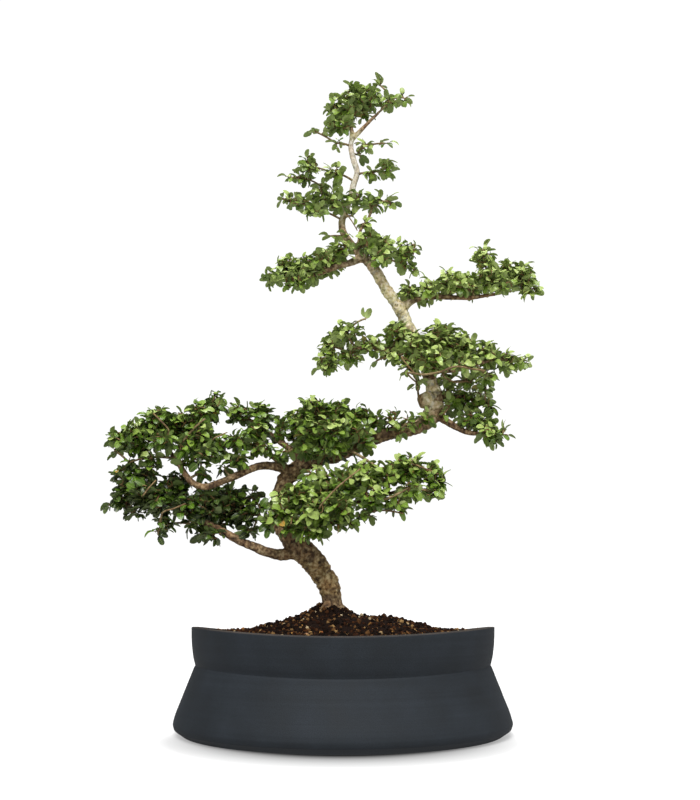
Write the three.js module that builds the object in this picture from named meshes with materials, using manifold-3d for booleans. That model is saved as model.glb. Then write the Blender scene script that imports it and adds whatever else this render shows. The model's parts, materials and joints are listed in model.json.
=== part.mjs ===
// Zelkova bonsai in its round stoneware pot, in millimetres, +Z up.
// The origin is the middle of the pot's flat underside. The front is towards -Y.
import * as THREE from 'three';
import { mergeVertices } from 'three/addons/utils/BufferGeometryUtils.js';
import Module from 'manifold-3d';

const wasm = await Module();
wasm.setup();

// Pot: a turned drum with a collar, a pinched waist and a flared skirt
const rimRadius = 153;
const rimHeight = 102;
const collarRadius = 151;
const collarFoot = 72;
const waistRadius = 148;
const waistHeight = 63.5;
const skirtRadius = 168.5;
const skirtHeight = 11.5;
const footRadius = 158;
const wallThickness = 7.5;
const floorThickness = 8;
const rimWave = 10; // how much lower the rim is at the front and back than at the sides
const rimLean = 5; // how much lower still at the back, and so much higher again at the front
const waveStart = 20; // height from which the wave grows
const waveFull = 80; // height from which it is as deep as at the rim
const turnedSides = 36;
const drainRadius = 11;
const drainOffset = 62;
const drainSides = 14;

// The pot's outside as [radius, height], from the middle of its underside up to the rim
const potOutside = [
  [0, 0], [footRadius, 0], [163, 2.5], [166.5, 7.5], [skirtRadius, skirtHeight], [165.5, 20.5],
  [waistRadius, waistHeight], [148.5, 66], [collarRadius, collarFoot], [152.5, 90],
  [rimRadius, rimHeight - 2], [rimRadius - 2, rimHeight],
];
const innerSkirtHeight = 19; // heights where the inside wall bends
const innerWaistHeight = 62.5;
const innerCollarHeight = 80;

// Screens over the drainage holes
const screenSide = 36;
const screenThickness = 1.2;
const screenBars = 1; // bars between the outer bars, each way
const screenBarWidth = 3;

// Soil
const fitGap = 0.3; // clearance between pieces that touch
const soilGap = 0.75; // between the soil and the pot
const soilEdgeDrop = 4; // below the rim
const moundHeight = 13.5;
const moundInner = 38;
const moundOuter = 113;
const moundX = 1;
const heapHeight = 16; // earth drawn up round the trunk
const heapRadius = 21;
const heapX = -15;
const grainHeight = 1.3;
const soilRings = 6;
const ringCrowding = 1.25; // the rings of the soil's top lie closer together towards the trunk
const soilSeed = 5;

// Leaves and the shoots that carry them
const leafLength = 17;
const leafWidth = 9.5;
const bladeThickness = 0.7;
const leafSpacing = 5.2; // between leaves on a shoot
const leafAngle = 0.95; // between a side leaf and its shoot, in radians
const firstLeaf = 0.7; // place of the first side leaf, in leaf spacings
const endStalk = 0.75; // of the leaf at the end, in leaf spacings
const mostSideLeaves = 4;
const stalkHalfWidth = 0.8;
const stalkBefore = 0.8; // a side leaf joins the shoot from this far before its own middle
const stalkAfter = 1.2; // to this far after it
const leafSizes = [0.92, 1.08]; // ranges of a shoot's random form
const shootArches = [0.4, 1.4]; // sag over a leaf's length
const shootFolds = [0.1, 0.3]; // rise of the blade per distance from its rib
const shootTwists = [-0.25, 0.25]; // turn over a leaf's length, in radians
const footWidth = 0.9;
const rootDepth = 0.3; // how far a shoot's foot goes past the middle of its twig
const footSetback = 4; // between the feet of shoots on a twig
const firstFoot = 0.4; // place of the first foot from the twig's tip, in setbacks
const footStretch = 0.75; // part of a short twig that carries feet
const footClear = 3; // from its foot on, a shoot keeps clear of everything
const shootMargin = 0.35; // kept clear above and below each shoot
const roomWidening = 0.04; // kept clear at its sides, as a part of its width
const roomLengthening = 0.02; // and at its tip, as a part of its length
const faceUp = 1.1; // how much more the leaves face the sky than a side
const twigRadii = [1.9, 1.4]; // at a twig's foot and tip
const twigSides = 3;
const placingTries = 60;
const sidestep = 0.5; // how much further each try bends a shoot aside
const spraySeed = 100;

// Limbs are tubes of few sides, and their knobs are parts of their radius
const trunkSides = 8;
const limbSides = 5;
const trunkKnobs = 0.07;
const limbKnobs = 0.04;
const treeClearance = 0.35; // between the tree and what is cut to fit round it

// Roots under the heap, of which the one in front on the left shows: [direction in degrees, length,
// radius at the trunk, rise over the others]
const trunkFootX = -10;
const roots = [[12, 26, 5.5, 0], [92, 24, 5.5, 0], [168, 26, 5.5, 0], [236, 25, 6, 4.5], [305, 24, 5.5, 0]];

// The course of each: [part of its length, height, part of its radius]
const rootCourse = [[0, 124, 1], [0.5, 117, 0.85], [0.85, 109, 0.6], [1.1, 100, 0.3]];

// Limbs of the tree: each point is [x, y, z, radius]
const limbs = {
  trunk: [
    [-9, 0, 84, 9], [-10, 0, 105, 11], [-11, 0, 124, 10.3], [-15, 0, 142, 11], [-22, -1, 155, 11.8],
    [-34, -1, 171, 12.4], [-48, 0, 184, 11.8], [-59, 3, 198, 10.2], [-67, 8, 216, 9.2], [-68, 10, 232, 8.8],
    [-64, 9, 248, 8.5], [-54, 6, 261, 8.6], [-41, 3, 270, 8.2], [-23, 0, 275, 8], [-1, -3, 281, 7.8],
    [20, -5, 290, 7.6], [41, -6, 299, 7.6], [62, -5, 304, 7.6], [80, -3, 309, 8], [93, 0, 319, 9],
    [98, 3, 333, 9], [98, 5, 346, 8.2], [94, 6, 360, 7.3], [89, 6, 376, 7], [82, 5, 395, 6.8],
    [73, 3, 415, 6.7], [64, 0, 433, 6.7], [55, -2, 448, 6.5], [46, -4, 461, 6.2], [38, -5, 475, 6],
    [30, -5, 488, 5.9], [19, -4, 500, 5.6], [8, -2, 512, 4.7], [0, 0, 526, 4.2], [-2, 2, 540, 3.9],
    [3, 4, 556, 3.6], [8, 4, 571, 3.5], [11, 3, 585, 3.6], [15, 1, 598, 3.5], [11, -1, 612, 3.3],
    [8, -2, 626, 3], [9, -2, 640, 2.7], [8, 0, 655, 2.2], [4, 2, 673, 1.7],
  ],
  lowLeft: [
    [-42, -1, 181, 8], [-61, -6, 175, 6], [-77, -10, 177, 5.2], [-93, -13, 183, 4.7], [-109, -15, 190, 4.3],
    [-124, -16, 198, 4], [-140, -16, 206, 3.6], [-155, -15, 213, 3.1], [-171, -13, 221, 2.6],
    [-188, -10, 229, 2.1], [-205, -8, 238, 1.7],
  ],
  middleLeft: [
    [-54, 4, 262, 6], [-71, -4, 266, 4.6], [-85, -11, 266, 4.3], [-97, -18, 261, 4], [-110, -24, 254, 3.9],
    [-125, -28, 247, 3.7], [-140, -30, 242, 3.5], [-152, -30, 245, 3.4], [-160, -28, 253, 3.2],
    [-167, -25, 263, 3], [-175, -21, 274, 2.7], [-185, -17, 284, 2.2], [-200, -13, 293, 1.7],
  ],
  highLeft: [
    [-41, 2, 270, 5.4], [-54, 6, 284, 3.8], [-67, 10, 294, 3.4], [-79, 13, 304, 3], [-90, 15, 314, 2.5],
    [-103, 15, 319, 2.1], [-118, 13, 319, 1.7],
  ],
  frontRight: [
    [-56, 2, 196, 6.4], [-44, -14, 204, 4.4], [-30, -26, 212, 3.9], [-11, -35, 218, 3.4], [9, -40, 224, 3],
    [29, -42, 229, 2.6], [48, -42, 234, 2.2], [66, -40, 240, 1.8],
  ],
  frontRise: [
    [-26, -1, 274, 5], [-29, -10, 283, 3.2], [-30, -18, 293, 2.6], [-26, -22, 305, 2], [-20, -22, 316, 1.6],
  ],
  stump: [[96, 3, 340, 8.5], [87, 0, 338, 8.5], [81, -2, 336, 6.5]],
  lowRight: [
    [96, 2, 325, 6.4], [107, -3, 316, 4.4], [118, -7, 308, 3.7], [129, -10, 302, 3.1], [141, -12, 300, 2.4],
    [154, -12, 304, 1.8],
  ],
  lowRightRise: [[98, 3, 338, 5], [111, 8, 344, 3], [125, 13, 345, 2.2], [139, 15, 343, 1.6]],
  middleRight: [
    [92, 6, 366, 5], [101, -8, 368, 3.4], [114, -20, 366, 2.9], [130, -26, 367, 2.5], [143, -27, 372, 2.1],
    [158, -24, 376, 1.7],
  ],
  middleLeftHigh: [
    [81, 5, 397, 5], [65, -6, 392, 3.2], [47, -14, 390, 2.8], [30, -18, 391, 2.4], [13, -18, 391, 1.9],
  ],
  highRight: [
    [62, 0, 436, 6], [71, -4, 445, 4.2], [85, -7, 450, 3.5], [102, -9, 450, 3.1], [119, -10, 449, 2.9],
    [137, -9, 449, 2.6], [154, -7, 452, 2.2], [172, -4, 456, 1.8], [188, -1, 460, 1.5],
  ],
  highLeftThird: [
    [21, -4, 497, 5.2], [7, -8, 489, 3.9], [-7, -11, 484, 3.5], [-22, -13, 477, 2.9], [-37, -14, 472, 2.2],
    [-53, -14, 469, 1.6],
  ],
  secondLeader: [[17, -4, 502, 4], [17, -7, 515, 2.3], [19, -9, 527, 2], [27, -10, 538, 1.7]],
  crownRight: [[9, -2, 636, 3], [21, -3, 649, 2.4], [32, -3, 661, 2], [42, -2, 672, 1.6]],
};

// Sprays of leaves: first the point where a spray's twig ends, then those that its leafy shoots grow towards
const sprays = {
  crown_left: [[1, -3, 678], [-24, -6, 688], [12, 6, 704]],
  crown_right: [[46, -3, 680], [78, 2, 690], [40, 8, 714], [48, -30, 692]],
  crown_middle: [[26, -6, 668], [16, -16, 694], [32, 22, 684]],
  crown_low_left: [[-4, -5, 650], [-34, -10, 646]],
  crown_foot_left: [[-3, -5, 630], [-20, -10, 632]],
  crown_foot_right: [[19, 4, 623], [38, -4, 632]],
  fifth_left: [[-22, -5, 590], [-54, -12, 604], [-50, 10, 590]],
  fifth_right: [[30, -3, 595], [60, -8, 606]],
  fourth_left_outer: [[-44, -8, 560], [-78, -8, 564], [-48, 20, 570]],
  fourth_left_inner: [[-12, -2, 555], [-22, 12, 574], [-22, -30, 560]],
  fourth_right: [[34, -8, 554], [60, -6, 566], [20, 4, 572]],
  third_left_inner: [[-8, -11, 496], [-4, -12, 520], [-26, 14, 500]],
  third_left_outer: [[-50, -12, 476], [-84, -12, 476], [-60, 12, 494], [-50, -40, 482]],
  third_right: [[40, -12, 498], [74, -26, 502], [42, -16, 524], [56, 16, 508]],
  second_right_inner: [[84, -8, 457], [72, -30, 470], [104, 12, 470]],
  second_right_middle: [[116, -12, 457], [112, -36, 472], [138, 10, 476]],
  second_right_outer: [[152, -8, 461], [154, -4, 502], [176, -30, 470], [146, 22, 472]],
  second_right_tip: [[186, -3, 467], [216, -8, 464], [200, 4, 492]],
  middle_left_tip: [[0, -18, 396], [-34, -16, 394], [-14, -26, 416], [-10, -22, 370]],
  middle_left_inner: [[34, -18, 396], [26, -24, 426], [48, 8, 412]],
  middle_front: [[82, -16, 387], [62, -26, 408], [84, -52, 384], [104, -32, 410]],
  middle_back: [[96, 22, 392], [124, 34, 404], [76, 36, 408]],
  middle_right_inner: [[122, -28, 376], [124, -32, 406], [142, -52, 368]],
  middle_right_outer: [[160, -22, 378], [200, -18, 380], [166, 0, 398], [152, -28, 356]],
  lower_right_high: [[130, 15, 347], [164, 8, 342], [116, 30, 362]],
  lower_right_low: [[146, -10, 307], [182, -10, 308], [142, 2, 328], [152, -34, 298]],
  trunk_sprig_left: [[50, -11, 314], [44, -24, 328]],
  trunk_sprig_right: [[70, -12, 315], [78, -24, 326]],
  elbow_sprig: [[108, -8, 330], [122, -22, 334]],
  centre_left: [[-38, -16, 302], [-62, -8, 318], [-44, -46, 296]],
  centre_top: [[-22, -22, 318], [-40, -14, 338], [0, -26, 334]],
  centre_middle: [[-2, -22, 299], [-14, -50, 298], [12, -36, 316]],
  centre_right: [[24, -18, 304], [46, -14, 322], [28, -46, 296]],
  centre_back: [[-26, 18, 296], [-52, 28, 306], [-8, 26, 318]],
  front_left: [[-44, -28, 214], [-76, -34, 226], [-54, -46, 190], [-46, -42, 246]],
  front_middle: [[-20, -44, 222], [-30, -60, 246], [-26, -70, 202]],
  front_centre: [[6, -47, 232], [-4, -46, 264], [8, -78, 218]],
  front_right: [[36, -47, 238], [28, -44, 268], [48, -74, 226], [54, -30, 262]],
  front_tip: [[68, -44, 246], [70, -40, 278], [106, -42, 254], [88, -64, 234]],
  back_low: [[-40, 26, 236], [-52, 44, 256], [-10, 32, 244]],
  left_tip: [[-214, -12, 298], [-250, -12, 300], [-216, -18, 326], [-226, 16, 288]],
  left_top_outer: [[-186, -24, 300], [-206, -46, 296], [-178, -16, 328]],
  left_top_middle: [[-166, -18, 294], [-150, -46, 288], [-164, 12, 316]],
  left_top_inner: [[-132, 0, 320], [-162, -12, 326], [-132, -8, 348], [-132, -34, 304]],
  left_middle: [[-146, -32, 268], [-134, -46, 296], [-122, -36, 270]],
  left_inner_top: [[-92, 2, 321], [-106, -6, 346], [-72, 10, 344], [-88, -32, 308]],
  left_inner_back: [[-106, 26, 316], [-134, 38, 318]],
  left_inner_low: [[-90, -17, 284], [-120, -28, 292], [-66, -16, 292]],
  low_left_tip: [[-210, -14, 244], [-230, -20, 270], [-246, -14, 228], [-206, -46, 250]],
  low_left_outer: [[-182, -16, 242], [-196, -30, 264], [-168, 6, 264]],
  low_left_middle: [[-166, -22, 226], [-160, -52, 216], [-192, -34, 208]],
  low_left_inner: [[-140, -8, 220], [-148, -22, 252], [-126, 18, 238]],
  low_left_under: [[-148, -22, 202], [-124, -30, 192]],
  low_left_right: [[-112, -10, 208], [-94, -8, 232]],
  low_left_back: [[-170, 16, 238], [-200, 30, 244], [-154, 40, 250]],
};

// A random number between 0 and 1 that is the same in each run
function seededRandom(seed) {
  let state = seed;
  return () => {
    state = (state + 0x6d2b79f5) | 0;
    let mixed = Math.imul(state ^ (state >>> 15), 1 | state);
    mixed = (mixed + Math.imul(mixed ^ (mixed >>> 7), 61 | mixed)) ^ mixed;
    return ((mixed ^ (mixed >>> 14)) >>> 0) / 4294967296;
  };
}

function smoothstep(low, high, value) {
  const t = Math.min(1, Math.max(0, (value - low) / (high - low)));
  return t * t * (3 - 2 * t);
}

function between([low, high], random) {
  return low + (high - low) * random();
}

function solidFrom(geometry) {
  const bare = geometry.clone();
  bare.deleteAttribute('normal');
  bare.deleteAttribute('uv');
  const merged = mergeVertices(bare, 1e-4);
  return new wasm.Manifold(new wasm.Mesh({
    numProp: 3,
    vertProperties: new Float32Array(merged.attributes.position.array),
    triVerts: new Uint32Array(merged.index.array),
  }));
}

function geometryFrom(solid) {
  const mesh = solid.getMesh();
  const geometry = new THREE.BufferGeometry();
  geometry.setAttribute('position', new THREE.BufferAttribute(mesh.vertProperties, 3));
  geometry.setIndex(new THREE.BufferAttribute(mesh.triVerts, 1));
  geometry.computeVertexNormals();
  return geometry;
}

// Fusing can leave crumbs where a cut frees a corner, so only the largest body is kept
function largestBody(solid) {
  return solid.decompose().reduce((best, body) => (body.volume() > best.volume() ? body : best));
}

function moveVertices(geometry, place) {
  const position = geometry.attributes.position;
  const point = new THREE.Vector3();
  for (let i = 0; i < position.count; i += 1) {
    point.fromBufferAttribute(position, i);
    place(point);
    position.setXYZ(i, point.x, point.y, point.z);
  }
  return geometry;
}

// The height of a point once the collar and the waist dip towards the front and, further, the back
function waved({ y, z }) {
  const fromMiddle = y / rimRadius;
  return z - (rimWave * fromMiddle + rimLean) * fromMiddle * smoothstep(waveStart, waveFull, z);
}

// A solid of revolution about Z from [radius, height] pairs that start and end on the axis
function turned(profile) {
  const points = profile.map(([radius, height]) => new THREE.Vector2(radius, height));
  return new THREE.LatheGeometry(points, turnedSides).rotateX(Math.PI / 2);
}

function potInside(clearance) {
  const inset = wallThickness + clearance;
  return [
    [footRadius - inset, floorThickness + clearance], [skirtRadius - inset, innerSkirtHeight],
    [waistRadius - inset, innerWaistHeight], [collarRadius - inset, innerCollarHeight],
  ];
}

function makePot() {
  const rimInside = [rimRadius - wallThickness, rimHeight];
  const shell = turned([...potOutside, rimInside, ...potInside(0).reverse(), [0, floorThickness]]);
  let pot = solidFrom(moveVertices(shell, (point) => { point.z = waved(point); }));
  for (const side of [-1, 1]) {
    const hole = new THREE.CylinderGeometry(drainRadius, drainRadius, floorThickness * 3, drainSides);
    pot = pot.subtract(solidFrom(hole.rotateX(Math.PI / 2).translate(side * drainOffset, 0, 0)));
  }
  return pot;
}

// A square of plastic mesh that keeps the soil in
function makeScreen(side) {
  const centreX = side * drainOffset;
  const centreZ = floorThickness + fitGap + screenThickness / 2;
  const sheet = new THREE.BoxGeometry(screenSide, screenSide, screenThickness);
  let screen = solidFrom(sheet.translate(centreX, 0, centreZ));
  const pitch = (screenSide - screenBarWidth) / (screenBars + 1);
  const opening = pitch - screenBarWidth;
  for (let row = 0; row <= screenBars; row += 1) {
    for (let column = 0; column <= screenBars; column += 1) {
      const x = centreX + (column - screenBars / 2) * pitch;
      const y = (row - screenBars / 2) * pitch;
      const window = new THREE.BoxGeometry(opening, opening, screenThickness * 3).translate(x, y, centreZ);
      screen = screen.subtract(solidFrom(window));
    }
  }
  return screen;
}

function soilHeight(x, y) {
  const edge = waved({ y, z: rimHeight }) - soilEdgeDrop;
  const mound = moundHeight * (1 - smoothstep(moundInner, moundOuter, Math.hypot(x - moundX, y)));
  return edge + mound + heapHeight * Math.exp(-((Math.hypot(x - heapX, y) / heapRadius) ** 2));
}

// The soil fills the pot round the roots and over the screens, and its top is grainy
function makeSoil(tree) {
  const random = seededRandom(soilSeed);
  const rimInset = rimRadius - wallThickness - soilGap;
  const top = [];
  for (let ring = 0; ring < soilRings; ring += 1) {
    top.push([rimInset * (1 - ring / soilRings) ** ringCrowding, rimHeight]);
  }
  const body = turned([[0, floorThickness + soilGap], ...potInside(soilGap), ...top, [0, rimHeight]]);
  const heights = new Map();
  moveVertices(body, (point) => {
    if (point.z < rimHeight - 1) {
      point.z = waved(point);
      return;
    }
    const key = `${Math.round(point.x * 10)} ${Math.round(point.y * 10)}`;
    const atEdge = Math.hypot(point.x, point.y) > rimInset - 1;
    if (!heights.has(key)) {
      heights.set(key, atEdge ? 0 : grainHeight * (2 * random() - 1));
    }
    point.z = soilHeight(point.x, point.y) + heights.get(key);
  });
  let soil = solidFrom(body).subtract(tree);
  const pocket = screenSide + 2 * fitGap;
  for (const side of [-1, 1]) {
    const room = new THREE.BoxGeometry(pocket, pocket, 2 * (floorThickness + 2 * fitGap + screenThickness));
    soil = soil.subtract(solidFrom(room.translate(side * drainOffset, 0, 0)));
  }
  return soil;
}

// A tapering, slightly knobbly tube along a limb's points, thicker all round by the margin
function limbTube(points, sides, knobs, margin) {
  const centres = points.map(([x, y, z]) => new THREE.Vector3(x, y, z));
  const path = new THREE.CatmullRomCurve3(centres, false, 'centripetal');
  const steps = points.length - 1;
  const tangents = points.map((_, i) => path.getTangent(i / steps));
  const tube = new THREE.CylinderGeometry(1, 1, 1, sides, steps);
  const across = new THREE.Vector3(0, 1, 0);
  const frames = tangents.map((tangent) => {
    across.addScaledVector(tangent, -across.dot(tangent)).normalize();
    return { across: across.clone(), up: new THREE.Vector3().crossVectors(tangent, across) };
  });
  return moveVertices(tube, (point) => {
    const step = Math.round((point.y + 0.5) * steps);
    const angle = Math.atan2(point.x, point.z);
    const offset = Math.hypot(point.x, point.z);
    const past = (step === steps ? margin : 0) - (step === 0 ? margin : 0);
    const [x, y, z, radius] = points[step];
    const knob = 1 + knobs * (Math.sin(2 * angle + 2.3 * step) + Math.sin(3 * angle - 1.7 * step)) / 2;
    const reach = offset * (radius * knob + margin);
    point.set(x, y, z).addScaledVector(tangents[step], past);
    point.addScaledVector(frames[step].across, -reach * Math.cos(angle));
    point.addScaledVector(frames[step].up, -reach * Math.sin(angle));
  });
}

function rootTube([degrees, length, radius, rise], margin) {
  const heading = THREE.MathUtils.degToRad(degrees);
  const points = rootCourse.map(([part, height, thickness]) => {
    const along = length * part;
    const x = trunkFootX + along * Math.cos(heading);
    return [x, along * Math.sin(heading), height + rise, radius * thickness];
  });
  return limbTube(points, limbSides, 0, margin);
}

// The trunk, its limbs and the roots that dive into the soil are one piece of wood
function makeTree(margin) {
  const { trunk, ...others } = limbs;
  const tubes = Object.values(others).map((points) => limbTube(points, limbSides, limbKnobs, margin));
  tubes.push(limbTube(trunk, trunkSides, trunkKnobs, margin));
  tubes.push(...roots.map((root) => rootTube(root, margin)));
  return wasm.Manifold.union(tubes.map(solidFrom));
}

// One side of a leaf's edge, with its widest place and a tooth, in parts of its length and half width
const toothedEdge = [[0.46, 1], [0.58, 0.6]];
const plainEdge = [[0.4, 0.94]];
const leafTip = [1, 0];

// A shoot's outline is walked from its foot up the right side, round the leaf at its end, and down the left
function shootOutline(size, sideLeaves, start) {
  const place = (points, along, angle, side) => points.map(([x, y]) => {
    const corner = new THREE.Vector2(x * leafLength, side * y * leafWidth / 2).multiplyScalar(size);
    return corner.rotateAround(new THREE.Vector2(), angle).add(new THREE.Vector2(along, 0));
  });
  const rib = (along, side) => new THREE.Vector2(along, side * stalkHalfWidth);
  const flank = (side) => Array.from({ length: sideLeaves }, (_, i) => i)
    .filter((i) => (i % 2 === 0) === (side < 0))
    .flatMap((i) => {
      const along = leafSpacing * (i + firstLeaf);
      const angle = side * leafAngle;
      const leaf = [
        ...place(toothedEdge, along, angle, side), ...place([leafTip], along, angle, 1),
        ...place(plainEdge, along, angle, -side),
      ];
      return [rib(along - stalkBefore, side), ...leaf, rib(along + stalkAfter, side)];
    });
  const end = leafSpacing * (sideLeaves + endStalk);
  const endLeaf = [
    rib(end, -1), ...place(toothedEdge, end, 0, -1), ...place([leafTip], end, 0, 1),
    ...place(plainEdge, end, 0, 1), rib(end, 1),
  ];
  return [
    new THREE.Vector2(start, -footWidth / 2), ...flank(-1), ...endLeaf, ...flank(1).reverse(),
    new THREE.Vector2(start, footWidth / 2),
  ];
}

// A thin blade in the outline of a shoot, along +X from its foot, arched, folded up at the rib and twisted.
// With a margin it is the room that the shoot needs, which starts a little way from its foot.
function shootGeometry(form, margin) {
  const start = margin > 0 ? footClear : -rootDepth;
  const shape = new THREE.Shape(shootOutline(form.size, form.sideLeaves, start));
  const depth = bladeThickness + 2 * margin;
  const blade = new THREE.ExtrudeGeometry(shape, { depth, bevelEnabled: false, steps: 1 });
  const widening = margin > 0 ? 1 + roomWidening : 1;
  const lengthening = margin > 0 ? 1 + roomLengthening : 1;
  return moveVertices(blade.translate(0, 0, -depth / 2), (point) => {
    const twist = form.twist * Math.max(0, point.x) / leafLength;
    const lift = point.z + form.fold * Math.abs(point.y);
    const spread = point.y * widening;
    point.y = spread * Math.cos(twist) - lift * Math.sin(twist);
    point.z = spread * Math.sin(twist) + lift * Math.cos(twist) - form.arch * (point.x / leafLength) ** 2;
    point.x *= lengthening;
  });
}

function nearest(point, candidates) {
  return candidates.reduce((best, candidate) => (
    point.distanceTo(candidate) < point.distanceTo(best) ? candidate : best
  ));
}

const freeLimbPoints = Object.values(limbs).flatMap((points) => (
  points.map(([x, y, z, radius]) => Object.assign(new THREE.Vector3(x, y, z), { radius }))
));

// A spray's twig starts at the nearest limb point that no other spray uses
function twigFoot(heart) {
  const foot = nearest(heart, freeLimbPoints);
  freeLimbPoints.splice(freeLimbPoints.indexOf(foot), 1);
  return foot;
}

function twigSolid(foot, heart) {
  const points = [foot, heart].map(({ x, y, z }, i) => [x, y, z, twigRadii[i]]);
  return solidFrom(limbTube(points, twigSides, 0, 0));
}

function boxesTouch(a, b) {
  return [0, 1, 2].every((axis) => a.min[axis] <= b.max[axis] && b.min[axis] <= a.max[axis]);
}

function crossesAny(solid, others) {
  const box = solid.boundingBox();
  return others.some((other) => boxesTouch(box, other.box) && !solid.intersect(other.solid).isEmpty());
}

function boxed(solid) {
  return { solid, box: solid.boundingBox() };
}

function shootSolid(foot, tip, form, margin) {
  const heading = new THREE.Vector3().subVectors(tip, foot).normalize();
  const light = new THREE.Vector3(Math.cos(form.facing), Math.sin(form.facing), faceUp);
  const across = new THREE.Vector3().crossVectors(light, heading).normalize();
  const normal = new THREE.Vector3().crossVectors(heading, across);
  const blade = shootGeometry(form, margin);
  blade.applyMatrix4(new THREE.Matrix4().makeBasis(heading, across, normal).setPosition(foot));
  return solidFrom(blade);
}

// The shoots leave the twig one after another, and each is turned and bent aside until it crosses nothing
function growShoots(spray, taken) {
  const back = new THREE.Vector3().subVectors(spray.foot, spray.heart);
  const bareLength = back.length() - spray.foot.radius;
  back.normalize();
  spray.tips.forEach((tip, i) => {
    const setback = Math.min(footSetback, footStretch * bareLength / spray.tips.length);
    const foot = spray.heart.clone().addScaledVector(back, setback * (firstFoot + i));
    const sideLeaves = Math.round((tip.distanceTo(foot) - leafLength) / leafSpacing - endStalk);
    for (let attempt = 0; attempt < placingTries; attempt += 1) {
      const aside = new THREE.Vector3(spray.random() - 0.5, spray.random() - 0.5, spray.random() - 0.5);
      const aim = tip.clone().addScaledVector(aside, attempt * sidestep);
      const form = {
        facing: spray.random() * Math.PI * 2,
        size: between(leafSizes, spray.random),
        arch: between(shootArches, spray.random),
        fold: between(shootFolds, spray.random),
        twist: between(shootTwists, spray.random),
        sideLeaves: Math.max(1, Math.min(mostSideLeaves, sideLeaves)),
      };
      const room = shootSolid(foot, aim, form, shootMargin);
      if (!crossesAny(room, taken)) {
        spray.shoots.push(shootSolid(foot, aim, form, 0));
        taken.push(boxed(room));
        return;
      }
    }
  });
}

function makeSprays(tree, clearTree) {
  const grown = Object.entries(sprays).map(([name, points], index) => {
    const [heart, ...tips] = points.map(([x, y, z]) => new THREE.Vector3(x, y, z));
    const foot = twigFoot(heart);
    const wood = largestBody(twigSolid(foot, heart).subtract(clearTree));
    return { name, heart, tips, foot, wood, shoots: [], random: seededRandom(spraySeed + index) };
  });
  const taken = [boxed(tree), ...grown.map(({ wood }) => boxed(wood))];
  grown.forEach((spray) => growShoots(spray, taken));
  return grown.map(({ name, wood, shoots }) => (
    [name, largestBody(wasm.Manifold.union([wood, ...shoots]).subtract(clearTree))]
  ));
}

function addPiece(group, name, solid, color, roughness) {
  const material = new THREE.MeshStandardMaterial({ color, roughness, metalness: 0 });
  const mesh = new THREE.Mesh(geometryFrom(solid), material);
  mesh.name = name;
  group.add(mesh);
}

const bonsai = new THREE.Group();
const tree = makeTree(0);
const clearTree = makeTree(treeClearance);
addPiece(bonsai, 'pot', makePot(), '#3a3d40', 0.55);
addPiece(bonsai, 'drain_screen_left', makeScreen(-1), '#22262a', 0.6);
addPiece(bonsai, 'drain_screen_right', makeScreen(1), '#22262a', 0.6);
addPiece(bonsai, 'soil', makeSoil(clearTree), '#37271e', 0.95);
addPiece(bonsai, 'tree', tree, '#7d6b49', 0.8);
for (const [name, solid] of makeSprays(tree, clearTree)) {
  addPiece(bonsai, `spray_${name}`, solid, '#55643a', 0.5);
}

export default bonsai;
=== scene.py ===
# Zelkova bonsai in its round stoneware pot, in metres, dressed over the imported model, its front towards -Y.
# The sections follow the real work: the pot, its screens, the soil, the tree, its twigs and its leaves.
import json
import math
import random

import bmesh
import bpy
from mathutils import Matrix, Vector, kdtree, noise

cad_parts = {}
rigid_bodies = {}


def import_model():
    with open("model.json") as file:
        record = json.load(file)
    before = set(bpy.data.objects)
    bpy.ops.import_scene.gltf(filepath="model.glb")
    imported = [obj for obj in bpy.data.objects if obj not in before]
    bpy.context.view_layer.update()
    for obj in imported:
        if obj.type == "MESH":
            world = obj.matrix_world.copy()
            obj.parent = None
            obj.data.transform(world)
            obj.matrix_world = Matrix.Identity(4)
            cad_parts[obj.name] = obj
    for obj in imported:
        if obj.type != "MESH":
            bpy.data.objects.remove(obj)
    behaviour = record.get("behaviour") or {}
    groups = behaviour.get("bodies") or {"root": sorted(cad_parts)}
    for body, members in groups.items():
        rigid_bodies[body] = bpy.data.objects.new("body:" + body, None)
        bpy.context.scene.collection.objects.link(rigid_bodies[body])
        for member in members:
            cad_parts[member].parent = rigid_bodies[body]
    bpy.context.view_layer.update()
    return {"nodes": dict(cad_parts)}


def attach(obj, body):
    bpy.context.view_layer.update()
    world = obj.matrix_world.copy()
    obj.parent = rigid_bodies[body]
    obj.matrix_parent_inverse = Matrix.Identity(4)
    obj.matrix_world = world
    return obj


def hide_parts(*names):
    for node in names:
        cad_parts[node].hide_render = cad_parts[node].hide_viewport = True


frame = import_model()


# Camera: low and in front of the pot, tilted up a little, as the tree was photographed.
# Its lens takes in the whole tree with the pot at the bottom of the frame.
mm = 0.001
camera_lens = 45
camera_tilt = 11.42
camera_place = (7 * mm, -1045.8 * mm, 126.9 * mm)


def add_to_scene(name, data):
    made = bpy.data.objects.new(name, data)
    bpy.context.scene.collection.objects.link(made)
    return made


camera_data = bpy.data.cameras.new("camera")
camera_data.lens = camera_lens
camera_data.clip_start = 10 * mm
camera = add_to_scene("camera", camera_data)
camera.location = camera_place
camera.rotation_euler = (math.radians(90 + camera_tilt), 0, 0)
bpy.context.scene.camera = camera


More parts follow.
